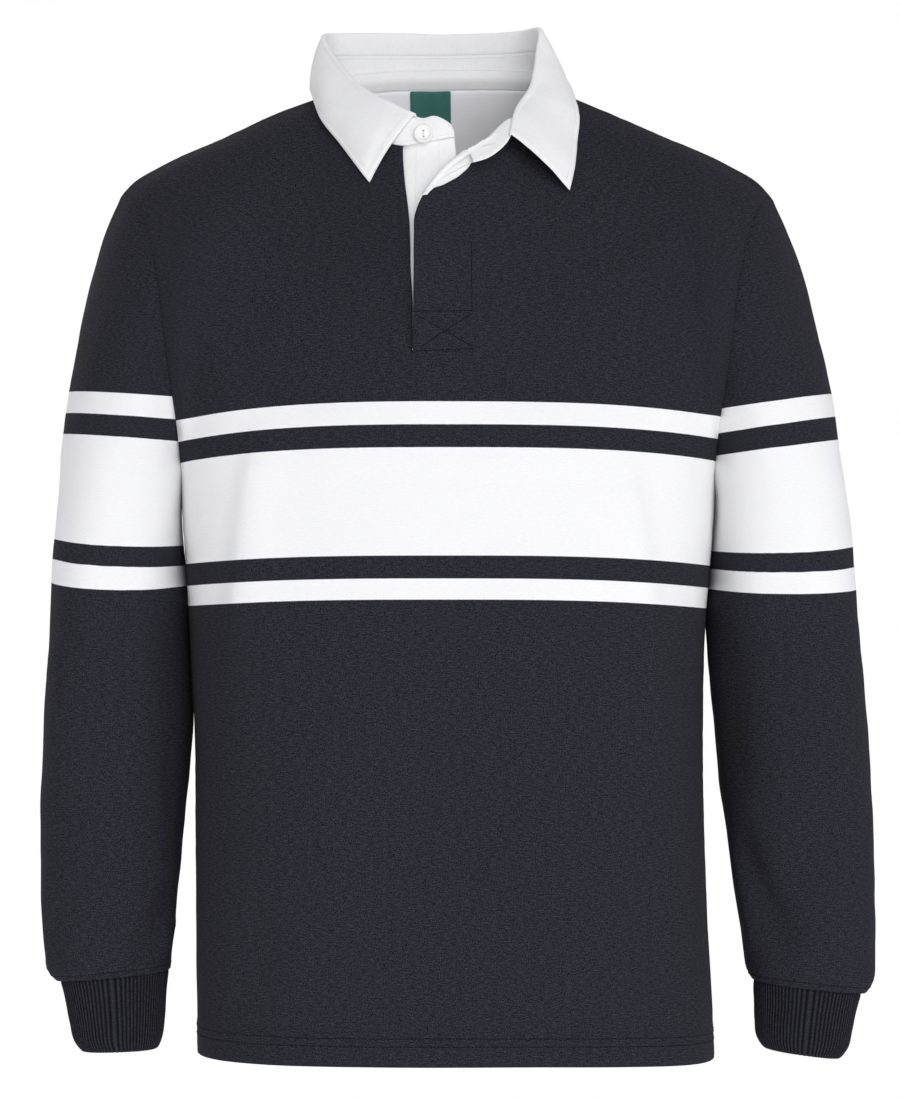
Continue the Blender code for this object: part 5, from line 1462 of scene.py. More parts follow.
def leaf_grid(rows, start):
    """The face of the leaf that shows: up the neck side, over its roll and down to its free edge."""
    roll, edge = smooth(leaf_count, leaf_roll, rows), smooth(leaf_count, leaf_edge, rows)
    radius = smooth(leaf_count, LEAF["radius"], rows)[:, None]
    bulge = smooth(leaf_count, LEAF["bulge"], rows)[:, None]
    out = unit((edge - roll) * LEVEL)
    roll[:, 2] = np.maximum(roll[:, 2], start[:, 2] + radius[:, 0] + LEAF_LIFT)
    bend = roll + out * radius - UPRIGHT * radius
    first = bend - out * radius
    lines = [start + (first - start) * f for f in np.linspace(0, 1, NECK_SIDE_ROWS, endpoint=False)]
    for angle in np.linspace(0, math.pi, ROLL_ANGLES):
        lines.append(bend - out * radius * math.cos(angle) + UPRIGHT * radius * math.sin(angle))
    last = lines[-1]
    face = unit(np.cross(np.cross(edge - last, UPRIGHT), edge - last))
    face = face * np.sign(np.sum(face * (out + UPRIGHT), axis=1, keepdims=True))
    for f in np.linspace(0, 1, FALL_ROWS + 1)[1:]:
        lines.append(last + (edge - last) * f + face * bulge * 4 * f * (1 - f))
    return np.stack(lines)


stations = stand_stations()
band = stand_grid(stations, STAND_STEPS)
from_end = distances(turned(band)[::-1])[::-1].T
lip = np.linspace(0, 1, len(band))[:, None]
along_band = unit(band[:, -1] - band[:, -2])
near_end = np.clip(1 - from_end / (STAND_CORNER_REACH * STAND_END_ROUND), 0, 1) ** 2
corner = STAND_END_ROUND * ease((lip - STAND_CORNER_FROM) / (1 - STAND_CORNER_FROM)) ** 2 * near_end
band = band - along_band[:, None] * corner[..., None]
band_out = surface_normals(band, band * UPRIGHT + STAND_CORE)
swell = wobble(band, *STAND_WAVE) * np.sin(np.linspace(0, math.pi, len(band)))[:, None]
band = band + band_out * swell[..., None]
pieces["collar_stand"] = shell("collar_stand_twill", band + band_out * TWILL, band, flat_cut(band), twill)

first = BUTTON_END_COLUMNS
last = int(np.argmin(np.abs(stations - LEAF_TO_ROW)))
top = band[-1, first:last + 1]
fine = np.linspace(0, len(leaf_roll) - 1, LEAF_READINGS)
gap = np.linalg.norm((top[:, None] - smooth(leaf_count, leaf_roll, fine)[None]) * LEAF_NEAR, axis=-1)
rows = fine[np.argmin(gap, axis=1)]
rows[0], rows[-1] = fine[0], fine[-1]
rows = evened(rows, LEAF_EVENING)
leaf = leaf_grid(rows, top + UPRIGHT * LEAF_LIFT)
leaf_out = surface_normals(leaf, leaf * UPRIGHT + STAND_CORE)
leaf_out = leaf_out if np.sum(leaf_out[-2] * (leaf[-2] * LEVEL)) > 0 else -leaf_out
away = unit((leaf[-1] - leaf[NECK_SIDE_ROWS]) * LEVEL)
at_left_end = ease((np.arange(len(rows)) - len(rows) + 6) / 5)[:, None]
for k in range(NECK_SIDE_ROWS):
    level = k / NECK_SIDE_ROWS
    leaf_out[k] = unit((1 - level) * -(at_left_end * away + (1 - at_left_end) * band_out[-1, first:last + 1])
                       + level * leaf_out[k])
fall = NECK_SIDE_ROWS + ROLL_ANGLES
down = distances(leaf)
side_gap = widths(leaf)
edge_gap = np.minimum(down[-1] - down, np.minimum(side_gap, side_gap[:, -1:] - side_gap))
on_fall = ease((np.arange(len(leaf)) - fall + 4) / 8)[:, None]
ridge = COLLAR_EDGE[0] * np.exp(-((edge_gap - COLLAR_EDGE[1]) / COLLAR_EDGE[2]) ** 2)
pinch = COLLAR_PINCH[0] * np.exp(-((edge_gap - COLLAR_STITCH) / COLLAR_PINCH[1]) ** 2)
pucker = np.exp(-(edge_gap / COLLAR_PUCKER[0]) ** 2) * wobble(leaf, *COLLAR_PUCKER)
calm = ease(down / LEAF_CALM_TOP) * ease(edge_gap / LEAF_CALM_EDGE)
relief = (ridge - pinch + pucker) * on_fall + wobble(leaf, *LEAF_WAVE) * calm
leaf = leaf + leaf_out * relief[..., None]
pieces["collar_leaf"] = shell("collar_leaf_twill", leaf, leaf - leaf_out * TWILL, flat_cut(leaf), twill)
print("stand", band.shape[:2], "leaf", leaf.shape[:2])

# %% [markdown]
# ## The placket
# The opening has two sides. The wearer's left side lies on top: the front's own edge, with a white facing
# inside it that turns out over the edge near the neck, because the collar is open. The wearer's right side
# carries a white under-placket, which shows through the gap. Both follow the front's own columns, moved in
# by a wall and a gap.

# %% Facing and under-placket
PLACKET_WIDTH = 42.0
TURN = table("z width roll slot", [
    (-100, 0.2, 0.0, 0.2),
    (-88, 0.2, 0.0, 0.2),
    (-83, 0.4, 0.0, 0.2),
    (-78.6, 1.6, 0.0, 0.2),
    (-72.3, 6.3, 0.0, 0.6),
    (-66.9, 8.9, 0.1, 3.0),
    (-62.2, 9.9, 0.3, 4.6),
    (-58.7, 8.9, 0.8, 4.9),
    (-55.8, 7.7, 1.0, 5.6),
    (-54, 6.8, 1.0, 5.6),
])
TURN_HIDDEN_Z = -90.0
TURN_SHOWN_Z = -76.0
TURN_STOP = 0.5
TURN_TUCK = 5.0
TURN_TUCK_ROWS = 5
TURN_COLUMNS = 22
TURN_BEND_COLUMNS = 9
TURN_SMOOTHING = 30
TURN_STEADY = 32.0
TURN_END_OUT = (0.42, -0.88, 0.12)
FACING_COLUMNS = 14
SLOT_Z = (-73.0, -55.0)
SLOT_STEP = 0.9
SLOT_DEPTH = 1.0
SLOT_HALF = 0.5
UNDER_LAP = 9.0
UNDER_BEHIND_RIGHT = 2.2
UNDER_BEHIND_LEFT = 5.4
UNDER_TOP = (0, 0.6, -0.4)
UNDER_TOP_X = (-14.0, 4.4)
UNDER_STEPS = (0.45, 1.0)
UNDER_COLUMNS = 22
UNDER_CORE = (0, 50, 0)
UNDER_TOP_REACH = 9.0
UNDER_TUCK = 2.6


def grid_faces(rows, columns):
    """The four-sided cells of a grid, as numbers of its points."""
    first = (np.arange(rows - 1)[:, None] * columns + np.arange(columns - 1)).ravel()
    return np.stack([first, first + 1, first + columns + 1, first + columns], axis=1).tolist()


front, front_out = outer[-1], facings[-1]
right_of_slit = front[:, slit_cell + 1:]
below_neck = distances(right_of_slit[::-1, 0])[::-1]
stop = int(np.flatnonzero(below_neck >= TURN_STOP)[-1]) + 1
neck_edge = place_at(right_of_slit[-1], np.linspace(0, TURN_TUCK, TURN_TUCK_ROWS + 1)[1:])
edge = np.concatenate([right_of_slit[foot:stop, 0], between(right_of_slit[-1], neck_edge)])
tucked = np.concatenate([np.zeros(stop - foot), np.linspace(0, 1, TURN_TUCK_ROWS + 1)[1:]])
edge_out = np.concatenate([front_out[foot:stop, slit_cell + 1],
                           between(front_out[-1, slit_cell + 1:], neck_edge)])
steady = int(np.flatnonzero(below_neck >= TURN_STEADY)[-1]) - foot
to_neck = ease(np.linspace(0, 1, len(edge) - steady))[:, None]
edge_out[steady:] = edge_out[steady] * (1 - to_neck) + np.array(TURN_END_OUT) * to_neck
edge_out = unit(evened(edge_out, TURN_SMOOTHING))
edge_way = unit(evened(np.gradient(edge, axis=0), TURN_SMOOTHING))
front_tree = BVHTree.FromPolygons([Vector(p) for p in right_of_slit.reshape(-1, 3).tolist()],
                                  grid_faces(*right_of_slit.shape[:2]))
faces, unders = [], []
for k, (start, n, way) in enumerate(zip(edge, edge_out, edge_way)):
    z = min(start[2], TURN["z"][-1])
    width, roll, slot = (float(read(TURN, "z", name, z)) for name in ("width", "roll", "slot"))
    across = unit(np.cross(n, way))
    across = across * np.sign(across[0])
    roll, cloth_here = roll * (1 - tucked[k]), TWILL * (1 - 0.6 * tucked[k])
    slot_here = float(ease((z - SLOT_Z[0]) / 4) * ease((SLOT_Z[1] - z) / 3)) * (1 - tucked[k])
    stops = np.clip([width, slot + SLOT_HALF, slot - SLOT_HALF, 0.05], 0.05, width)
    profile, under = [], []
    for reach in np.interp(np.linspace(0, 1, TURN_COLUMNS), (0, 0.3, 0.7, 1), stops):
        x, y, z_here = start + across * reach
        hit = front_tree.ray_cast(Vector((x, FAR_IN_FRONT, z_here)), Vector((0, 1, 0)))
        place, share = np.array([x, hit[0][1] if hit[0] else y, z_here]), reach / width
        lift = SEAM_GAP + roll * (1 - share ** 2)
        step = slot_here * (SLOT_STEP * float(ease((slot - reach) / 0.3 + 0.5))
                            - SLOT_DEPTH * math.exp(-((reach - slot - 0.2) / 0.2) ** 2))
        profile.append(place + n * (lift + cloth_here + step))
        under.append(place + n * (lift + min(step, 0)))
    middle, near = start - n * JERSEY / 2, JERSEY / 2 + SEAM_GAP + roll
    for angle in np.radians(np.linspace(78, -78, TURN_BEND_COLUMNS)):
        arm = -across * math.cos(angle) + n * math.sin(angle)
        step = slot_here * SLOT_STEP * max(0.0, math.sin(angle))
        profile.append(middle + arm * (near + cloth_here + step))
        under.append(middle + arm * near)
    row, begin = min(foot + k, stop - 1), TURN_TUCK * tucked[k]
    line, line_out = right_of_slit[row], front_out[row, slit_cell + 1:]
    places = place_at(line, np.linspace(begin + 0.4 + roll, begin + PLACKET_WIDTH, FACING_COLUMNS))
    inside, out = between(line, places), unit(between(line_out, places))
    inside = inside + UPRIGHT * TURN_STOP * tucked[k]
    profile += list(inside - out * (JERSEY + SEAM_GAP + TWILL))
    under += list(inside - out * (JERSEY + SEAM_GAP))
    wrap = TURN_COLUMNS + TURN_BEND_COLUMNS
    first = wrap * (1 - ease((z - TURN_HIDDEN_Z) / (TURN_SHOWN_Z - TURN_HIDDEN_Z)))
    shown = np.linspace(first, len(profile) - 1, len(profile))
    faces.append(between(np.array(profile), shown))
    unders.append(between(np.array(under), shown))
faces, unders = np.array(faces), np.array(unders)
pieces["placket_facing"] = shell("placket_facing_twill", faces, unders, flat_cut(faces), twill)

rows = []
count = np.arange(len(neck_seam), dtype=float)
places = np.interp(UNDER_TOP_X, STAND["seam_x"][5::-1], count[5::-1])
top_points = smooth(count, neck_seam, places) + UNDER_TOP
right_edge = front[:, slit_cell]
below_neck_right = distances(right_edge[::-1])[::-1]
for row in range(foot - 1, len(front)):
    right_line, right_out = front[row, slit_cell::-1], front_out[row, slit_cell::-1]
    left_line = front[row, slit_cell + 1:]
    z = front[row, slit_cell, 2]
    lap = between(right_line, place_at(right_line, UNDER_LAP))[0]
    edge_point = right_line[0] - right_out[0] * UNDER_BEHIND_RIGHT
    reach = read(UNDER_PLACKET, "z", "left", z)
    points = [lap - right_out[0] * UNDER_BEHIND_RIGHT, edge_point]
    for share in UNDER_STEPS:
        x = edge_point[0] + (reach - edge_point[0]) * share
        behind = np.interp(x, left_line[:, 0], left_line[:, 1]) + UNDER_BEHIND_LEFT
        points.append(np.array([x, max(edge_point[1], behind), z]))
    near_top = float(np.clip(1 - below_neck_right[row] / UNDER_TOP_REACH, 0, 1))
    points[2:] = [p * (1 - near_top) + q * near_top for p, q in zip(points[2:], top_points)]
    rows.append(curve(np.array(points), np.linspace(0, 1, UNDER_COLUMNS)))
tuck = rows[-1] + np.array([0, 0.35, UNDER_TUCK])
strip = np.array([*rows, (rows[-1] + tuck) / 2, tuck])
strip_out = surface_normals(strip, strip + UNDER_CORE)
pieces["under_placket"] = shell("under_placket_twill", strip, strip - strip_out * TWILL,
                                flat_cut(strip), twill)
print("facing", faces.shape[:2], "under-placket", strip.shape[:2])

# %% [markdown]
# ## Inside the back neck
# Three pieces lie one over the other behind the neck: a pale half moon that faces the back panel, a white
# tape over the neck seam, and a woven label tucked under the tape. Each is made from the back panel's own
# points, moved in by what lies behind it, so that none of them can cut through another.

# %% Half moon, tape and label
HALF_MOON_DROP = 95.0
HALF_MOON_LEAST = 16.0
HALF_MOON_POWER = 0.6
HALF_MOON_ROWS = 36
HALF_MOON_WAVE = (40, 0.5, 71.0)
TAPE_REACH = 8.0
TAPE_ROWS = 9
TAPE_CURVED = 0.5
LABEL_RIGHT = -30.0
LABEL_LEFT = 2.0
LABEL_DROP = 46.0
LABEL_ROWS = 26
LABEL_COLUMNS = 18
MOON_BEHIND = 2.9
TAPE_BEHIND = 2.2
TAPE_BEHIND_SEAM = 2.8
LABEL_BEHIND = 4.4

columns = slice(SHOULDER_COLUMNS, SHOULDER_COLUMNS + NECK_COLUMNS + 1)
lines, line_outs = turned(outer[1][::-1, columns]), turned(facings[1][::-1, columns])
neck_band = turned(band)[BUTTON_END_COLUMNS + LEAF_START_COLUMNS + FRONT_NECK_RIGHT:]
moon, moon_out, tape = [], [], []
for k, (line, line_out) in enumerate(zip(lines, line_outs)):
    deep = math.sin(math.pi * k / NECK_COLUMNS) ** HALF_MOON_POWER
    drop = HALF_MOON_LEAST + (HALF_MOON_DROP - HALF_MOON_LEAST) * deep
    places = place_at(line, np.linspace(TAPE_REACH + 2 * SEAM_GAP, drop, HALF_MOON_ROWS))
    moon.append(between(line, places))
    moon_out.append(unit(between(line_out, places)))
    reach = place_at(line, TAPE_REACH)
    lower = between(line, reach) - unit(between(line_out, reach)) * TAPE_BEHIND
    upper = between(neck_band[k], place_at(neck_band[k], TAPE_REACH))
    inward = unit((NECK_CORE - line[0]) * LEVEL)
    marks = np.array([lower[0], line[0] + inward * TAPE_BEHIND_SEAM, upper[0] + inward * 2 * SEAM_GAP])
    flat_tape = np.interp(np.linspace(0, 1, TAPE_ROWS), (0, 0.5, 1), (0, 1, 2))
    bowed = curve(marks, np.linspace(0, 1, TAPE_ROWS))
    tape.append(between(marks, flat_tape) * (1 - TAPE_CURVED) + bowed * TAPE_CURVED)
moon, moon_out, tape = np.array(moon), unit(np.array(moon_out)), np.array(tape)
moon_face = moon - moon_out * (MOON_BEHIND + TAPE)
moon_face = moon_face + moon_out * wobble(moon, *HALF_MOON_WAVE)[..., None]
pieces["half_moon"] = shell("half_moon_jersey", moon_face, moon - moon_out * MOON_BEHIND,
                            flat_cut(moon), facing)
tape_in = -surface_normals(tape, tape * UPRIGHT + NECK_CORE)
pieces["neck_tape"] = shell("neck_tape_twill", tape + tape_in * TAPE, tape, flat_cut(tape), twill)

label = []
for drop in np.linspace(TAPE_REACH + 2 * SEAM_GAP, TAPE_REACH + LABEL_DROP, LABEL_ROWS):
    places = [place_at(line, drop) for line in lines]
    level = np.array([between(line, place)[0] for line, place in zip(lines, places)])
    level_out = np.array([between(line_out, place)[0] for line_out, place in zip(line_outs, places)])
    marks = np.linspace(LABEL_RIGHT, LABEL_LEFT, LABEL_COLUMNS)
    across = np.interp(marks, level[:, 0], np.arange(len(level)))
    label.append(between(level, across) - unit(between(level_out, across)) * LABEL_BEHIND)
label = np.array(label)
label_out = surface_normals(label, label * UPRIGHT + NECK_CORE)
pieces["neck_label"] = shell("neck_label_satin", label - label_out * TAPE, label, flat_cut(label), satin)
print("half moon", moon.shape[:2], "tape", tape.shape[:2], "label", label.shape[:2])

# %% [markdown]
# ## The button
# A shirt button is turned: its profile is a short line spun round an axis, with a rounded rim and a dished
# middle. Two holes are cut with small cylinders, one above the other, and the thread runs between them. It
# sits on the end of the stand and is pearl plastic, so its finish is smooth, a little clear and faintly
# clouded.

# %% Button and its thread
BUTTON_PLACE = (-18.4, -79.3, -37.4)
BUTTON_FACE = (0, -0.965, 0.26)
BUTTON_RADII = [0, 5.6, 6.7, 7.15, 7.25, 7.1, 6.7, 6.2, 5.7, 5.2, 4.6, 3.6, 0]
BUTTON_HEIGHTS = [0, 0, 0.25, 0.7, 1.3, 1.95, 2.4, 2.55, 2.4, 1.95, 1.7, 1.65, 1.7]
BUTTON_SIDES = 96
BUTTON_HOLE = 0.8
BUTTON_HOLE_RING = 2.3
DRILL_SIDES = 20
DRILL_DEPTH = 8.0
THREAD_WIDE = 0.42
THREAD_POINTS = 13
THREAD_FOOT = 1.1
THREAD_RISE = 1.05
THREAD_ROUND = 0.7
PEARL = (0.80, 0.80, 0.80, 1)
PEARL_LIGHT = (0.90, 0.90, 0.89, 1)
PEARL_CLOUDS = 260.0


def object_noise(tree, scale, detail):
    """Noise fixed to the piece itself, for what has no cut."""
    place = grow(tree, "ShaderNodeTexCoord").outputs["Object"]
    return grow(tree, "ShaderNodeTexNoise", {"Vector": place, "Scale": scale, "Detail": detail}).outputs[0]


pearl, tree, shader = principled("pearl_plastic", {"Roughness": 0.28, "Coat Weight": 0.4})
cloud = object_noise(tree, PEARL_CLOUDS, 3.0)
tree.links.new(colour_mix(tree, cloud, PEARL, PEARL_LIGHT), shader.inputs["Base Color"])
raised(tree, shader, 0.08, 0.1, cloud)

facing_way = Vector(BUTTON_FACE).to_track_quat("Z", "Y").to_matrix()


def on_button(points):
    """Points of the button's own frame, whose Z is its axis, put in place."""
    return np.array([list(facing_way @ Vector(p)) for p in np.asarray(points, float).tolist()]) + BUTTON_PLACE


def bmesh_object(name, mesh, material):
    """An object from a finished bmesh."""
    data = bpy.data.meshes.new(name)
    mesh.to_mesh(data)
    mesh.free()
    data.materials.append(material)
    return add_object(name, data)


lathe = bmesh.new()
outline = [lathe.verts.new((r, 0, h)) for r, h in zip(BUTTON_RADII, BUTTON_HEIGHTS)]
edges = [lathe.edges.new(pair) for pair in zip(outline, outline[1:])]
bmesh.ops.spin(lathe, geom=outline + edges, cent=(0, 0, 0), axis=(0, 0, 1), angle=2 * math.pi,
               steps=BUTTON_SIDES, use_merge=True)
bmesh.ops.remove_doubles(lathe, verts=lathe.verts, dist=1e-4)
bmesh.ops.recalc_face_normals(lathe, faces=lathe.faces)
button = bmesh_object("neck_button_pearl", lathe, pearl)
drills = bmesh.new()
for up in (1, -1):
    made = bmesh.ops.create_cone(drills, cap_ends=True, segments=DRILL_SIDES, radius1=BUTTON_HOLE,
                                 radius2=BUTTON_HOLE, depth=DRILL_DEPTH)
    bmesh.ops.translate(drills, verts=made["verts"], vec=Vector((0, up * BUTTON_HOLE_RING, 0)))
drill = bmesh_object("drill", drills, pearl)
cutter = button.modifiers.new("holes", "BOOLEAN")
cutter.operation = "DIFFERENCE"
cutter.solver = "EXACT"
cutter.object = drill
button.data = bpy.data.meshes.new_from_object(button.evaluated_get(bpy.context.evaluated_depsgraph_get()))
button.modifiers.clear()
bpy.data.objects.remove(drill)
points = on_button([v.co[:] for v in button.data.vertices])
button.data.vertices.foreach_set("co", (points * MM).ravel())
button.data.shade_smooth()
button.data.update()
print("button", len(button.data.polygons), "faces")

# %% [markdown]
# ## Stitches
# A lockstitch row is one short, tight thread after another along a line. One tree makes them all: it turns
# a line into a curve, spaces points along it, and puts a small stretched ball on each, turned along the
# line, with a seeded difference in length. Overlocking and button thread run without a break, so a second
# tree sweeps a round profile along the line instead.

# %% Stitch trees
STITCH_SIDES = 6
STITCH_RINGS = 4
THREAD_SIDES = 6
STITCH_SEED = 11
STITCH_SHORT = 0.88
STITCH_LONG = 1.08
THREAD_GRAIN = 1800.0
NAVY_THREAD = ((0.006, 0.006, 0.009, 1), (0.013, 0.013, 0.018, 1))
WHITE_THREAD = ((0.72, 0.72, 0.73, 1), (0.82, 0.82, 0.83, 1))


def stitch_tree():
    """Short balls of thread, spaced along a line and turned along it."""
    tree, given, result = new_tree("stitch_row", {
        "Pitch": "NodeSocketFloat", "Length": "NodeSocketFloat", "Thickness": "NodeSocketFloat",
        "Seed": "NodeSocketInt", "Material": "NodeSocketMaterial"})
    line = grow(tree, "GeometryNodeMeshToCurve", {0: given.outputs["Geometry"]}).outputs[0]
    spacing = {"Curve": line, "Length": given.outputs["Pitch"]}
    spaced = grow(tree, "GeometryNodeResampleCurve", spacing, mode="LENGTH")
    along = grow(tree, "GeometryNodeInputTangent")
    aligned = grow(tree, "FunctionNodeAlignRotationToVector", {"Vector": along.outputs[0]}, axis="X")
    uneven = grow(tree, "FunctionNodeRandomValue", data_type="FLOAT")
    socket_of(uneven.inputs, "Min").default_value = STITCH_SHORT
    socket_of(uneven.inputs, "Max").default_value = STITCH_LONG
    tree.links.new(given.outputs["Seed"], socket_of(uneven.inputs, "Seed"))
    long = maths(tree, "MULTIPLY", given.outputs["Length"], socket_of(uneven.outputs, "Value"))
    thick = given.outputs["Thickness"]
    size = grow(tree, "ShaderNodeCombineXYZ", {0: long, 1: thick, 2: thick})
    ball = grow(tree, "GeometryNodeMeshUVSphere", {
        "Segments": STITCH_SIDES, "Rings": STITCH_RINGS, "Radius": 0.5})
    row = grow(tree, "GeometryNodeInstanceOnPoints", {
        "Points": spaced.outputs[0], "Instance": ball.outputs[0], "Rotation": aligned.outputs[0],
        "Scale": size.outputs[0]})
    return tree_end(tree, given, result, row.outputs[0])


def thread_tree():
    """A round thread swept along a line."""
    tree, given, result = new_tree("thread", {
        "Thickness": "NodeSocketFloat", "Material": "NodeSocketMaterial"})
    line = grow(tree, "GeometryNodeMeshToCurve", {0: given.outputs["Geometry"]})
    radius = maths(tree, "MULTIPLY", given.outputs["Thickness"], 0.5)
    profile = grow(tree, "GeometryNodeCurvePrimitiveCircle", {"Resolution": THREAD_SIDES, "Radius": radius})
    swept = grow(tree, "GeometryNodeCurveToMesh", {
        0: line.outputs[0], 1: profile.outputs[0], "Fill Caps": True})
    return tree_end(tree, given, result, swept.outputs[0])


def thread_material(name, low, high):
    """Spun thread of two near tones."""
    def spun(tree):
        return object_noise(tree, THREAD_GRAIN, 2.0)

    return cloth(name, 0.6, 0.0, 0.3, 0.05, lambda tree: colour_mix(tree, spun(tree), low, high), spun)


def lines_object(name, lines):
    """Several lines of points as one mesh of edges."""
    edges, start = [], 0
    for line in lines:
        edges += [(k, k + 1) for k in range(start, start + len(line) - 1)]
        start += len(line)
    mesh = bpy.data.meshes.new(name)
    mesh.from_pydata((np.concatenate(lines) * MM).tolist(), edges, [])
    return add_object(name, mesh)


def trimmed(name, lines, tree, values):
    """A tree's trimming along lines of points in millimetres, riding with the shirt."""
    thing = plain_mesh(lines_object(name, lines), tree, values)
    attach(thing, "root")
    print(name, len(thing.data.polygons), "faces")


def stitched(name, lines, material, kind):
    """Rows of lockstitches. kind is their pitch, length and thickness."""
    pitch, length, thickness = kind
    trimmed(name, lines, stitches, {
        "Pitch": pitch * MM, "Length": length * MM, "Thickness": thickness * MM, "Seed": STITCH_SEED,
        "Material": material})


def threaded(name, lines, material, thickness):
    """Unbroken thread."""
    trimmed(name, lines, threads, {"Thickness": thickness * MM, "Material": material})


stitches, threads = stitch_tree(), thread_tree()
navy_thread = thread_material("navy_thread", *NAVY_THREAD)
white_thread = thread_material("white_thread", *WHITE_THREAD)
print("trees:", stitches.name, threads.name)

# %% [markdown]
# ## Where the rows run
# Each row is measured on the cloth it holds, so it can't float off it: so far from a hem, an edge or a
# seam, and lifted by less than half its own thickness. The box and cross at the foot of the placket is
# drawn flat first and then dropped onto the front.

# %% Rows of stitches
ROW_LIFT = 0.1
HEM_KIND = (2.8, 2.5, 0.62)
BOX_KIND = (1.9, 1.75, 0.75)
FINE_KIND = (2.1, 1.8, 0.42)
EDGE_ROW = 2.0
TAPE_ROW = 1.6
MOON_ROW = 2.2
MARK_STEP = 1.5
BOX_LINES = [
    [(-26.5, -173.0), (17.7, -172.0)],
    [(-25.8, -202.6), (19.1, -200.4)],
    [(-22.8, -175.7), (17.7, -198.5)],
    [(-18.4, -198.5), (16.2, -174.9)],
]
PLACKET_LINE = [(17.3, -120.4), (17.7, -172.0)]
UNDER_ROWS = (-24.0, -6.8)
BUTTONHOLE = [(25.4, -47.6), (35.9, -44.6)]
BUTTONHOLE_HALF = 1.1
BUTTONHOLE_PITCH = 0.45
BUTTONHOLE_THREAD = 0.35
OVERLOCK_HALF = 1.3
OVERLOCK_PITCH = 1.6
OVERLOCK_THREAD = 0.4
TIE_PLACES = (-0.36, 0.0, 0.36)


def above_cloth(line, normal, distance):
    """The point of a line of cloth at a distance along it, a little above the cloth."""
    place = place_at(line, distance)
    return between(line, place)[0] + unit(between(normal, place)[0]) * ROW_LIFT


def at_distance(grid, normals, distance):
    """The line on a grid at a distance from its first row."""
    lines = zip(turned(grid), turned(normals))
    return np.array([above_cloth(line, normal, distance) for line, normal in lines])


def dropped(tree, marks):
    """A flat line between two x, z marks, laid on a piece from in front."""
    start, end = np.array(marks, float)
    count = max(2, int(np.linalg.norm(end - start) / MARK_STEP))
    out = []
    for x, z in np.linspace(start, end, count):
        place, normal, _, _ = tree.ray_cast(Vector((x, FAR_IN_FRONT, z)) * MM, Vector((0, 1, 0)))
        if place:
            out.append(np.array(place) / MM + np.array(normal) * ROW_LIFT)
    return np.array(out)


def tree_of(thing):
    """A piece's faces, ready for ray casts."""
    mesh = thing.data
    return BVHTree.FromPolygons([v.co[:] for v in mesh.vertices], [p.vertices[:] for p in mesh.polygons])


def zigzag(line, normals, half, pitch):
    """A line that swings to either side of another, as overlocking does."""
    count = max(2, int(distances(line)[-1] / pitch))
    middle = curve(line, np.linspace(0, 1, count))
    normal = unit(between(normals, np.linspace(0, len(normals) - 1, count)))
    side = unit(np.cross(normal, np.gradient(middle, axis=0)))
    return middle + side * half * np.where(np.arange(count) % 2, 1, -1)[:, None]


hem_lines = [at_distance(outer[panel], facings[panel], row) for panel in (-1, 1) for row in HEM_ROWS]
stitched("hem_stitches", hem_lines, navy_thread, HEM_KIND)
for side, name in ((-1, "right"), (1, "left")):
    ring = at_distance(sleeves[side][::-1], round_facings[side][::-1], SLEEVE_HEM_ROW)
    stitched(f"sleeve_{name}_stitches", [np.concatenate([ring, ring[:1]])], navy_thread, HEM_KIND)

front_tree = tree_of(pieces["front"])
box_lines = [dropped(front_tree, marks) for marks in [*BOX_LINES, PLACKET_LINE]]
stitched("placket_box_stitches", box_lines, navy_thread, BOX_KIND)

legs = []
for grid, normal in ((leaf, leaf_out), (leaf[:, ::-1], leaf_out[:, ::-1])):
    rows_kept = [k for k in range(NECK_SIDE_ROWS + ROLL_ANGLES // 2, len(leaf))
                 if down[-1, 0] - down[k, 0] > COLLAR_STITCH]
    legs.append(np.array([above_cloth(grid[k], normal[k], COLLAR_STITCH) for k in rows_kept]))
free = at_distance(leaf[::-1], leaf_out[::-1], COLLAR_STITCH)
inside = (side_gap[-1] > COLLAR_STITCH) & (side_gap[-1, -1] - side_gap[-1] > COLLAR_STITCH)
collar_rows = [np.concatenate([legs[0], free[inside], legs[1][::-1]])]
collar_rows.append(at_distance(leaf - leaf_out * TWILL, -leaf_out, EDGE_ROW))
stand_face = band + band_out * TWILL
for grid, normal in ((stand_face, band_out), (band, -band_out)):
    for flip in (1, -1):
        collar_rows.append(at_distance(grid[::flip], normal[::flip], EDGE_ROW))
stitched("collar_stitches", collar_rows, white_thread, FINE_KIND)

under_lines = []
for x in UNDER_ROWS:
    line = []
    for points, normal in zip(strip, strip_out):
        if points[0, 0] + 1 < x < points[-1, 0] - 1:
            place = np.interp(x, points[:, 0], np.arange(len(points)))
            line.append(between(points, place)[0] + between(normal, place)[0] * ROW_LIFT)
    if len(line) > 2:
        under_lines.append(np.array(line))
stitched("under_placket_stitches", under_lines, white_thread, FINE_KIND)

tape_face, tape_up = turned(tape + tape_in * TAPE), turned(tape_in)
tape_lines = [at_distance(tape_face[::flip], tape_up[::flip], TAPE_ROW) for flip in (1, -1)]
stitched("neck_tape_stitches", tape_lines, white_thread, FINE_KIND)
moon_rows, moon_up = turned(moon_face)[::-1], -turned(moon_out)[::-1]
overlock = zigzag(at_distance(moon_rows, moon_up, MOON_ROW), moon_up[0], OVERLOCK_HALF, OVERLOCK_PITCH)
threaded("half_moon_overlock", [overlock], white_thread, OVERLOCK_THREAD)

hole_line = dropped(tree_of(pieces["collar_stand"]), BUTTONHOLE)
forward = np.tile([0.0, -1.0, 0.0], (len(hole_line), 1))
hole_thread = zigzag(hole_line, forward, BUTTONHOLE_HALF, BUTTONHOLE_PITCH)
threaded("buttonhole_thread", [hole_thread], white_thread, BUTTONHOLE_THREAD)

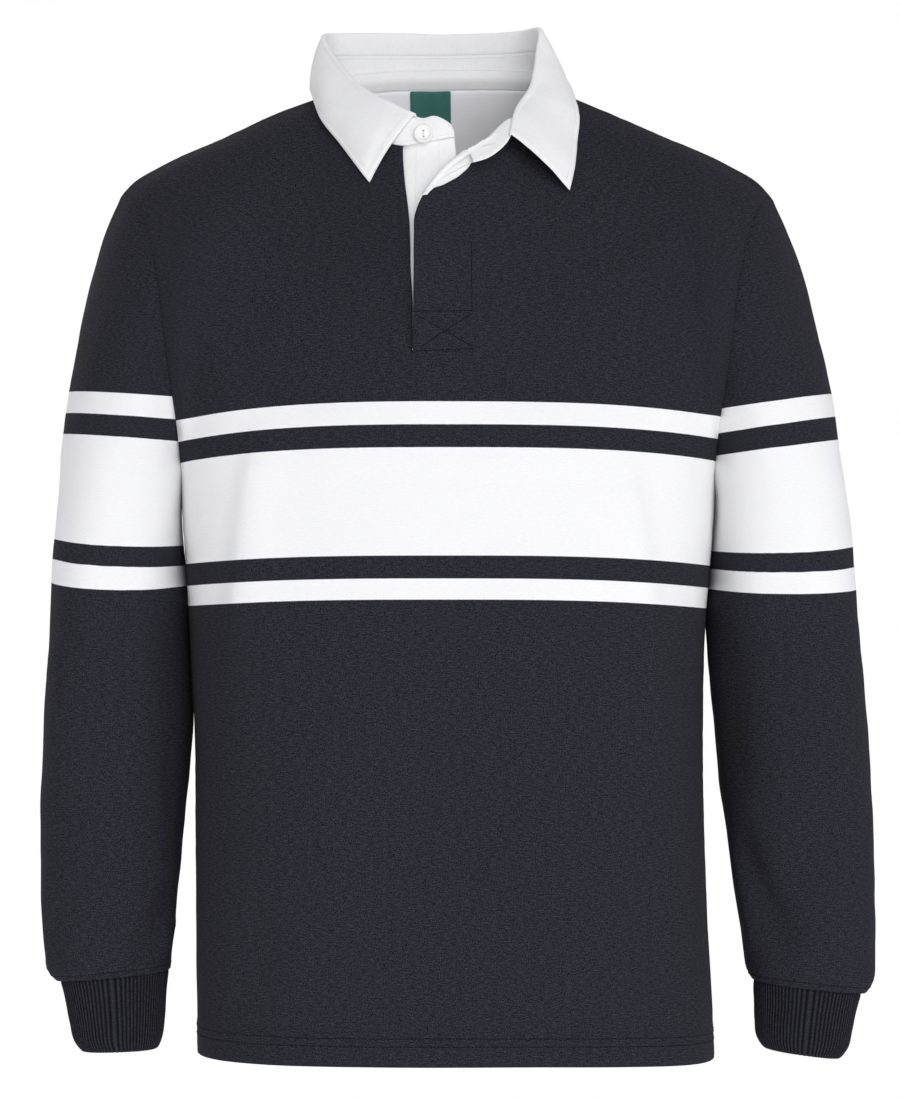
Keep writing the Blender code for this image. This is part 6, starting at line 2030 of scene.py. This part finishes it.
turn = np.linspace(math.pi, 0, THREAD_POINTS)
ties = []
for across in TIE_PLACES:
    rise = THREAD_FOOT + np.sin(turn) ** THREAD_ROUND * (THREAD_RISE - abs(across))
    arch = [np.full(THREAD_POINTS, across), np.cos(turn) * BUTTON_HOLE_RING, rise]
    ties.append(on_button(np.stack(arch, axis=1)))
threaded("button_thread", ties, white_thread, THREAD_WIDE)

# %% [markdown]
# ## What each piece stands for
# Every finished piece rides on the shirt's one body and replaces its solid, which is hidden. The size that
# each piece of cloth was cut to is printed. That size is measured on the piece itself: the middle
# width of its rows, its longest column and its area, before the wall's thickness is counted.

# %% Fastening the pieces to the frame
def cut_size(grid, ring=False):
    """Width, length and area of a grid, in metres."""
    wide = closed(grid) if ring else grid
    across = np.median(widths(wide)[:, -1]) * MM
    along = distances(wide)[-1].max() * MM
    a, b, c, d = wide[:-1, :-1], wide[:-1, 1:], wide[1:, 1:], wide[1:, :-1]
    area = np.linalg.norm(np.cross(c - a, d - b), axis=-1).sum() / 2 * MM * MM
    return (round(float(across), 3), round(float(along), 3)), round(float(min(area, across * along)), 5)


grids = {
    "front": (outer[-1], "jersey", False),
    "back": (outer[1], "jersey", False),
    "sleeve_right": (sleeves[-1], "jersey", True),
    "sleeve_left": (sleeves[1], "jersey", True),
    "cuff_right": (cuffs["right"], "rib", True),
    "cuff_left": (cuffs["left"], "rib", True),
    "collar_stand": (band, "twill", False),
    "collar_leaf": (leaf, "twill", False),
    "placket_facing": (faces, "twill", False),
    "under_placket": (strip, "twill", False),
    "half_moon": (moon, "facing", False),
    "neck_tape": (tape, "tape", False),
    "neck_label": (label, "label", False),
}
for node, (grid, slot, ring) in grids.items():
    flat, area = cut_size(grid, ring)
    sewn(pieces[node], node, flat)
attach(button, "root")
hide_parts("neck_button")

# %% [markdown]
# ## Light and floor
# A shirt on show is lit from all around, so that nothing hides in shadow: a pale world does half of it,
# and two very wide suns, one in front and one behind, give the folds their soft shape. What the eye sees
# behind the shirt is white paper. The floor is pale too, and well below the hem.

# %% Studio
FLOOR_DROP = 0.42
FLOOR_SIZE = 60.0
FLOOR_GLOW = 0.34
AMBIENT = 0.30
LAMPS = [
    ("front", (0.30, -1.0, 0.38), 1.86),
    ("behind", (-0.35, 1.0, 0.55), 1.40),
]
LAMP_SPREAD = 60
LAMP_DISTANCE = 3
ROOM_TINT = (0.985, 0.985, 1.0, 1)
FLOOR_TINT = (0.95, 0.95, 0.95, 1)

world = bpy.data.worlds.new("studio")
bpy.context.scene.world = world
world.use_nodes = True
tree = world.node_tree
room = tree.nodes["Background"]
room.inputs["Color"].default_value = ROOM_TINT
room.inputs["Strength"].default_value = AMBIENT
paper = grow(tree, "ShaderNodeBackground", {"Color": FULL, "Strength": 1.0}).outputs[0]
seen = grow(tree, "ShaderNodeLightPath").outputs["Is Camera Ray"]
both = grow(tree, "ShaderNodeMixShader", {0: seen, 1: room.outputs[0], 2: paper})
tree.links.new(both.outputs[0], tree.nodes["World Output"].inputs["Surface"])
bpy.context.scene.view_settings.view_transform = "Standard"
for name, way, power in LAMPS:
    lamp = bpy.data.lights.new(name, "SUN")
    lamp.energy = power
    lamp.angle = math.radians(LAMP_SPREAD)
    holder = add_object(name, lamp)
    holder.location = Vector(way) * LAMP_DISTANCE
    holder.rotation_euler = Vector(way).to_track_quat("Z", "Y").to_euler()
pale, _, _ = principled("pale_floor", {
    "Base Color": FLOOR_TINT, "Roughness": 0.9, "Specular IOR Level": 0.0, "Emission Color": FULL,
    "Emission Strength": FLOOR_GLOW})
level = (solid_box[0][2] - FLOOR_DROP) / MM
half = FLOOR_SIZE / 2 / MM
corners = [(-half, -half, level), (half, -half, level), (half, half, level), (-half, half, level)]
floor = add_mesh("floor", corners, [(0, 1, 2, 3)], pale)
floor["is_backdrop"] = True

# %% [markdown]
# ## Size and finish
# The dressed shirt's box is measured beside the solids' box, and both are printed axis by axis. The
# dressed shirt has to stay inside the solids' box, give or take what cloth may stand proud.

# %% Finish
dressed_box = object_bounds()
for axis in range(3):
    ends = [float(box[k][axis]) / MM for box in (solid_box, dressed_box) for k in (0, 1)]
    print("xyz"[axis], np.round(ends, 1).tolist())
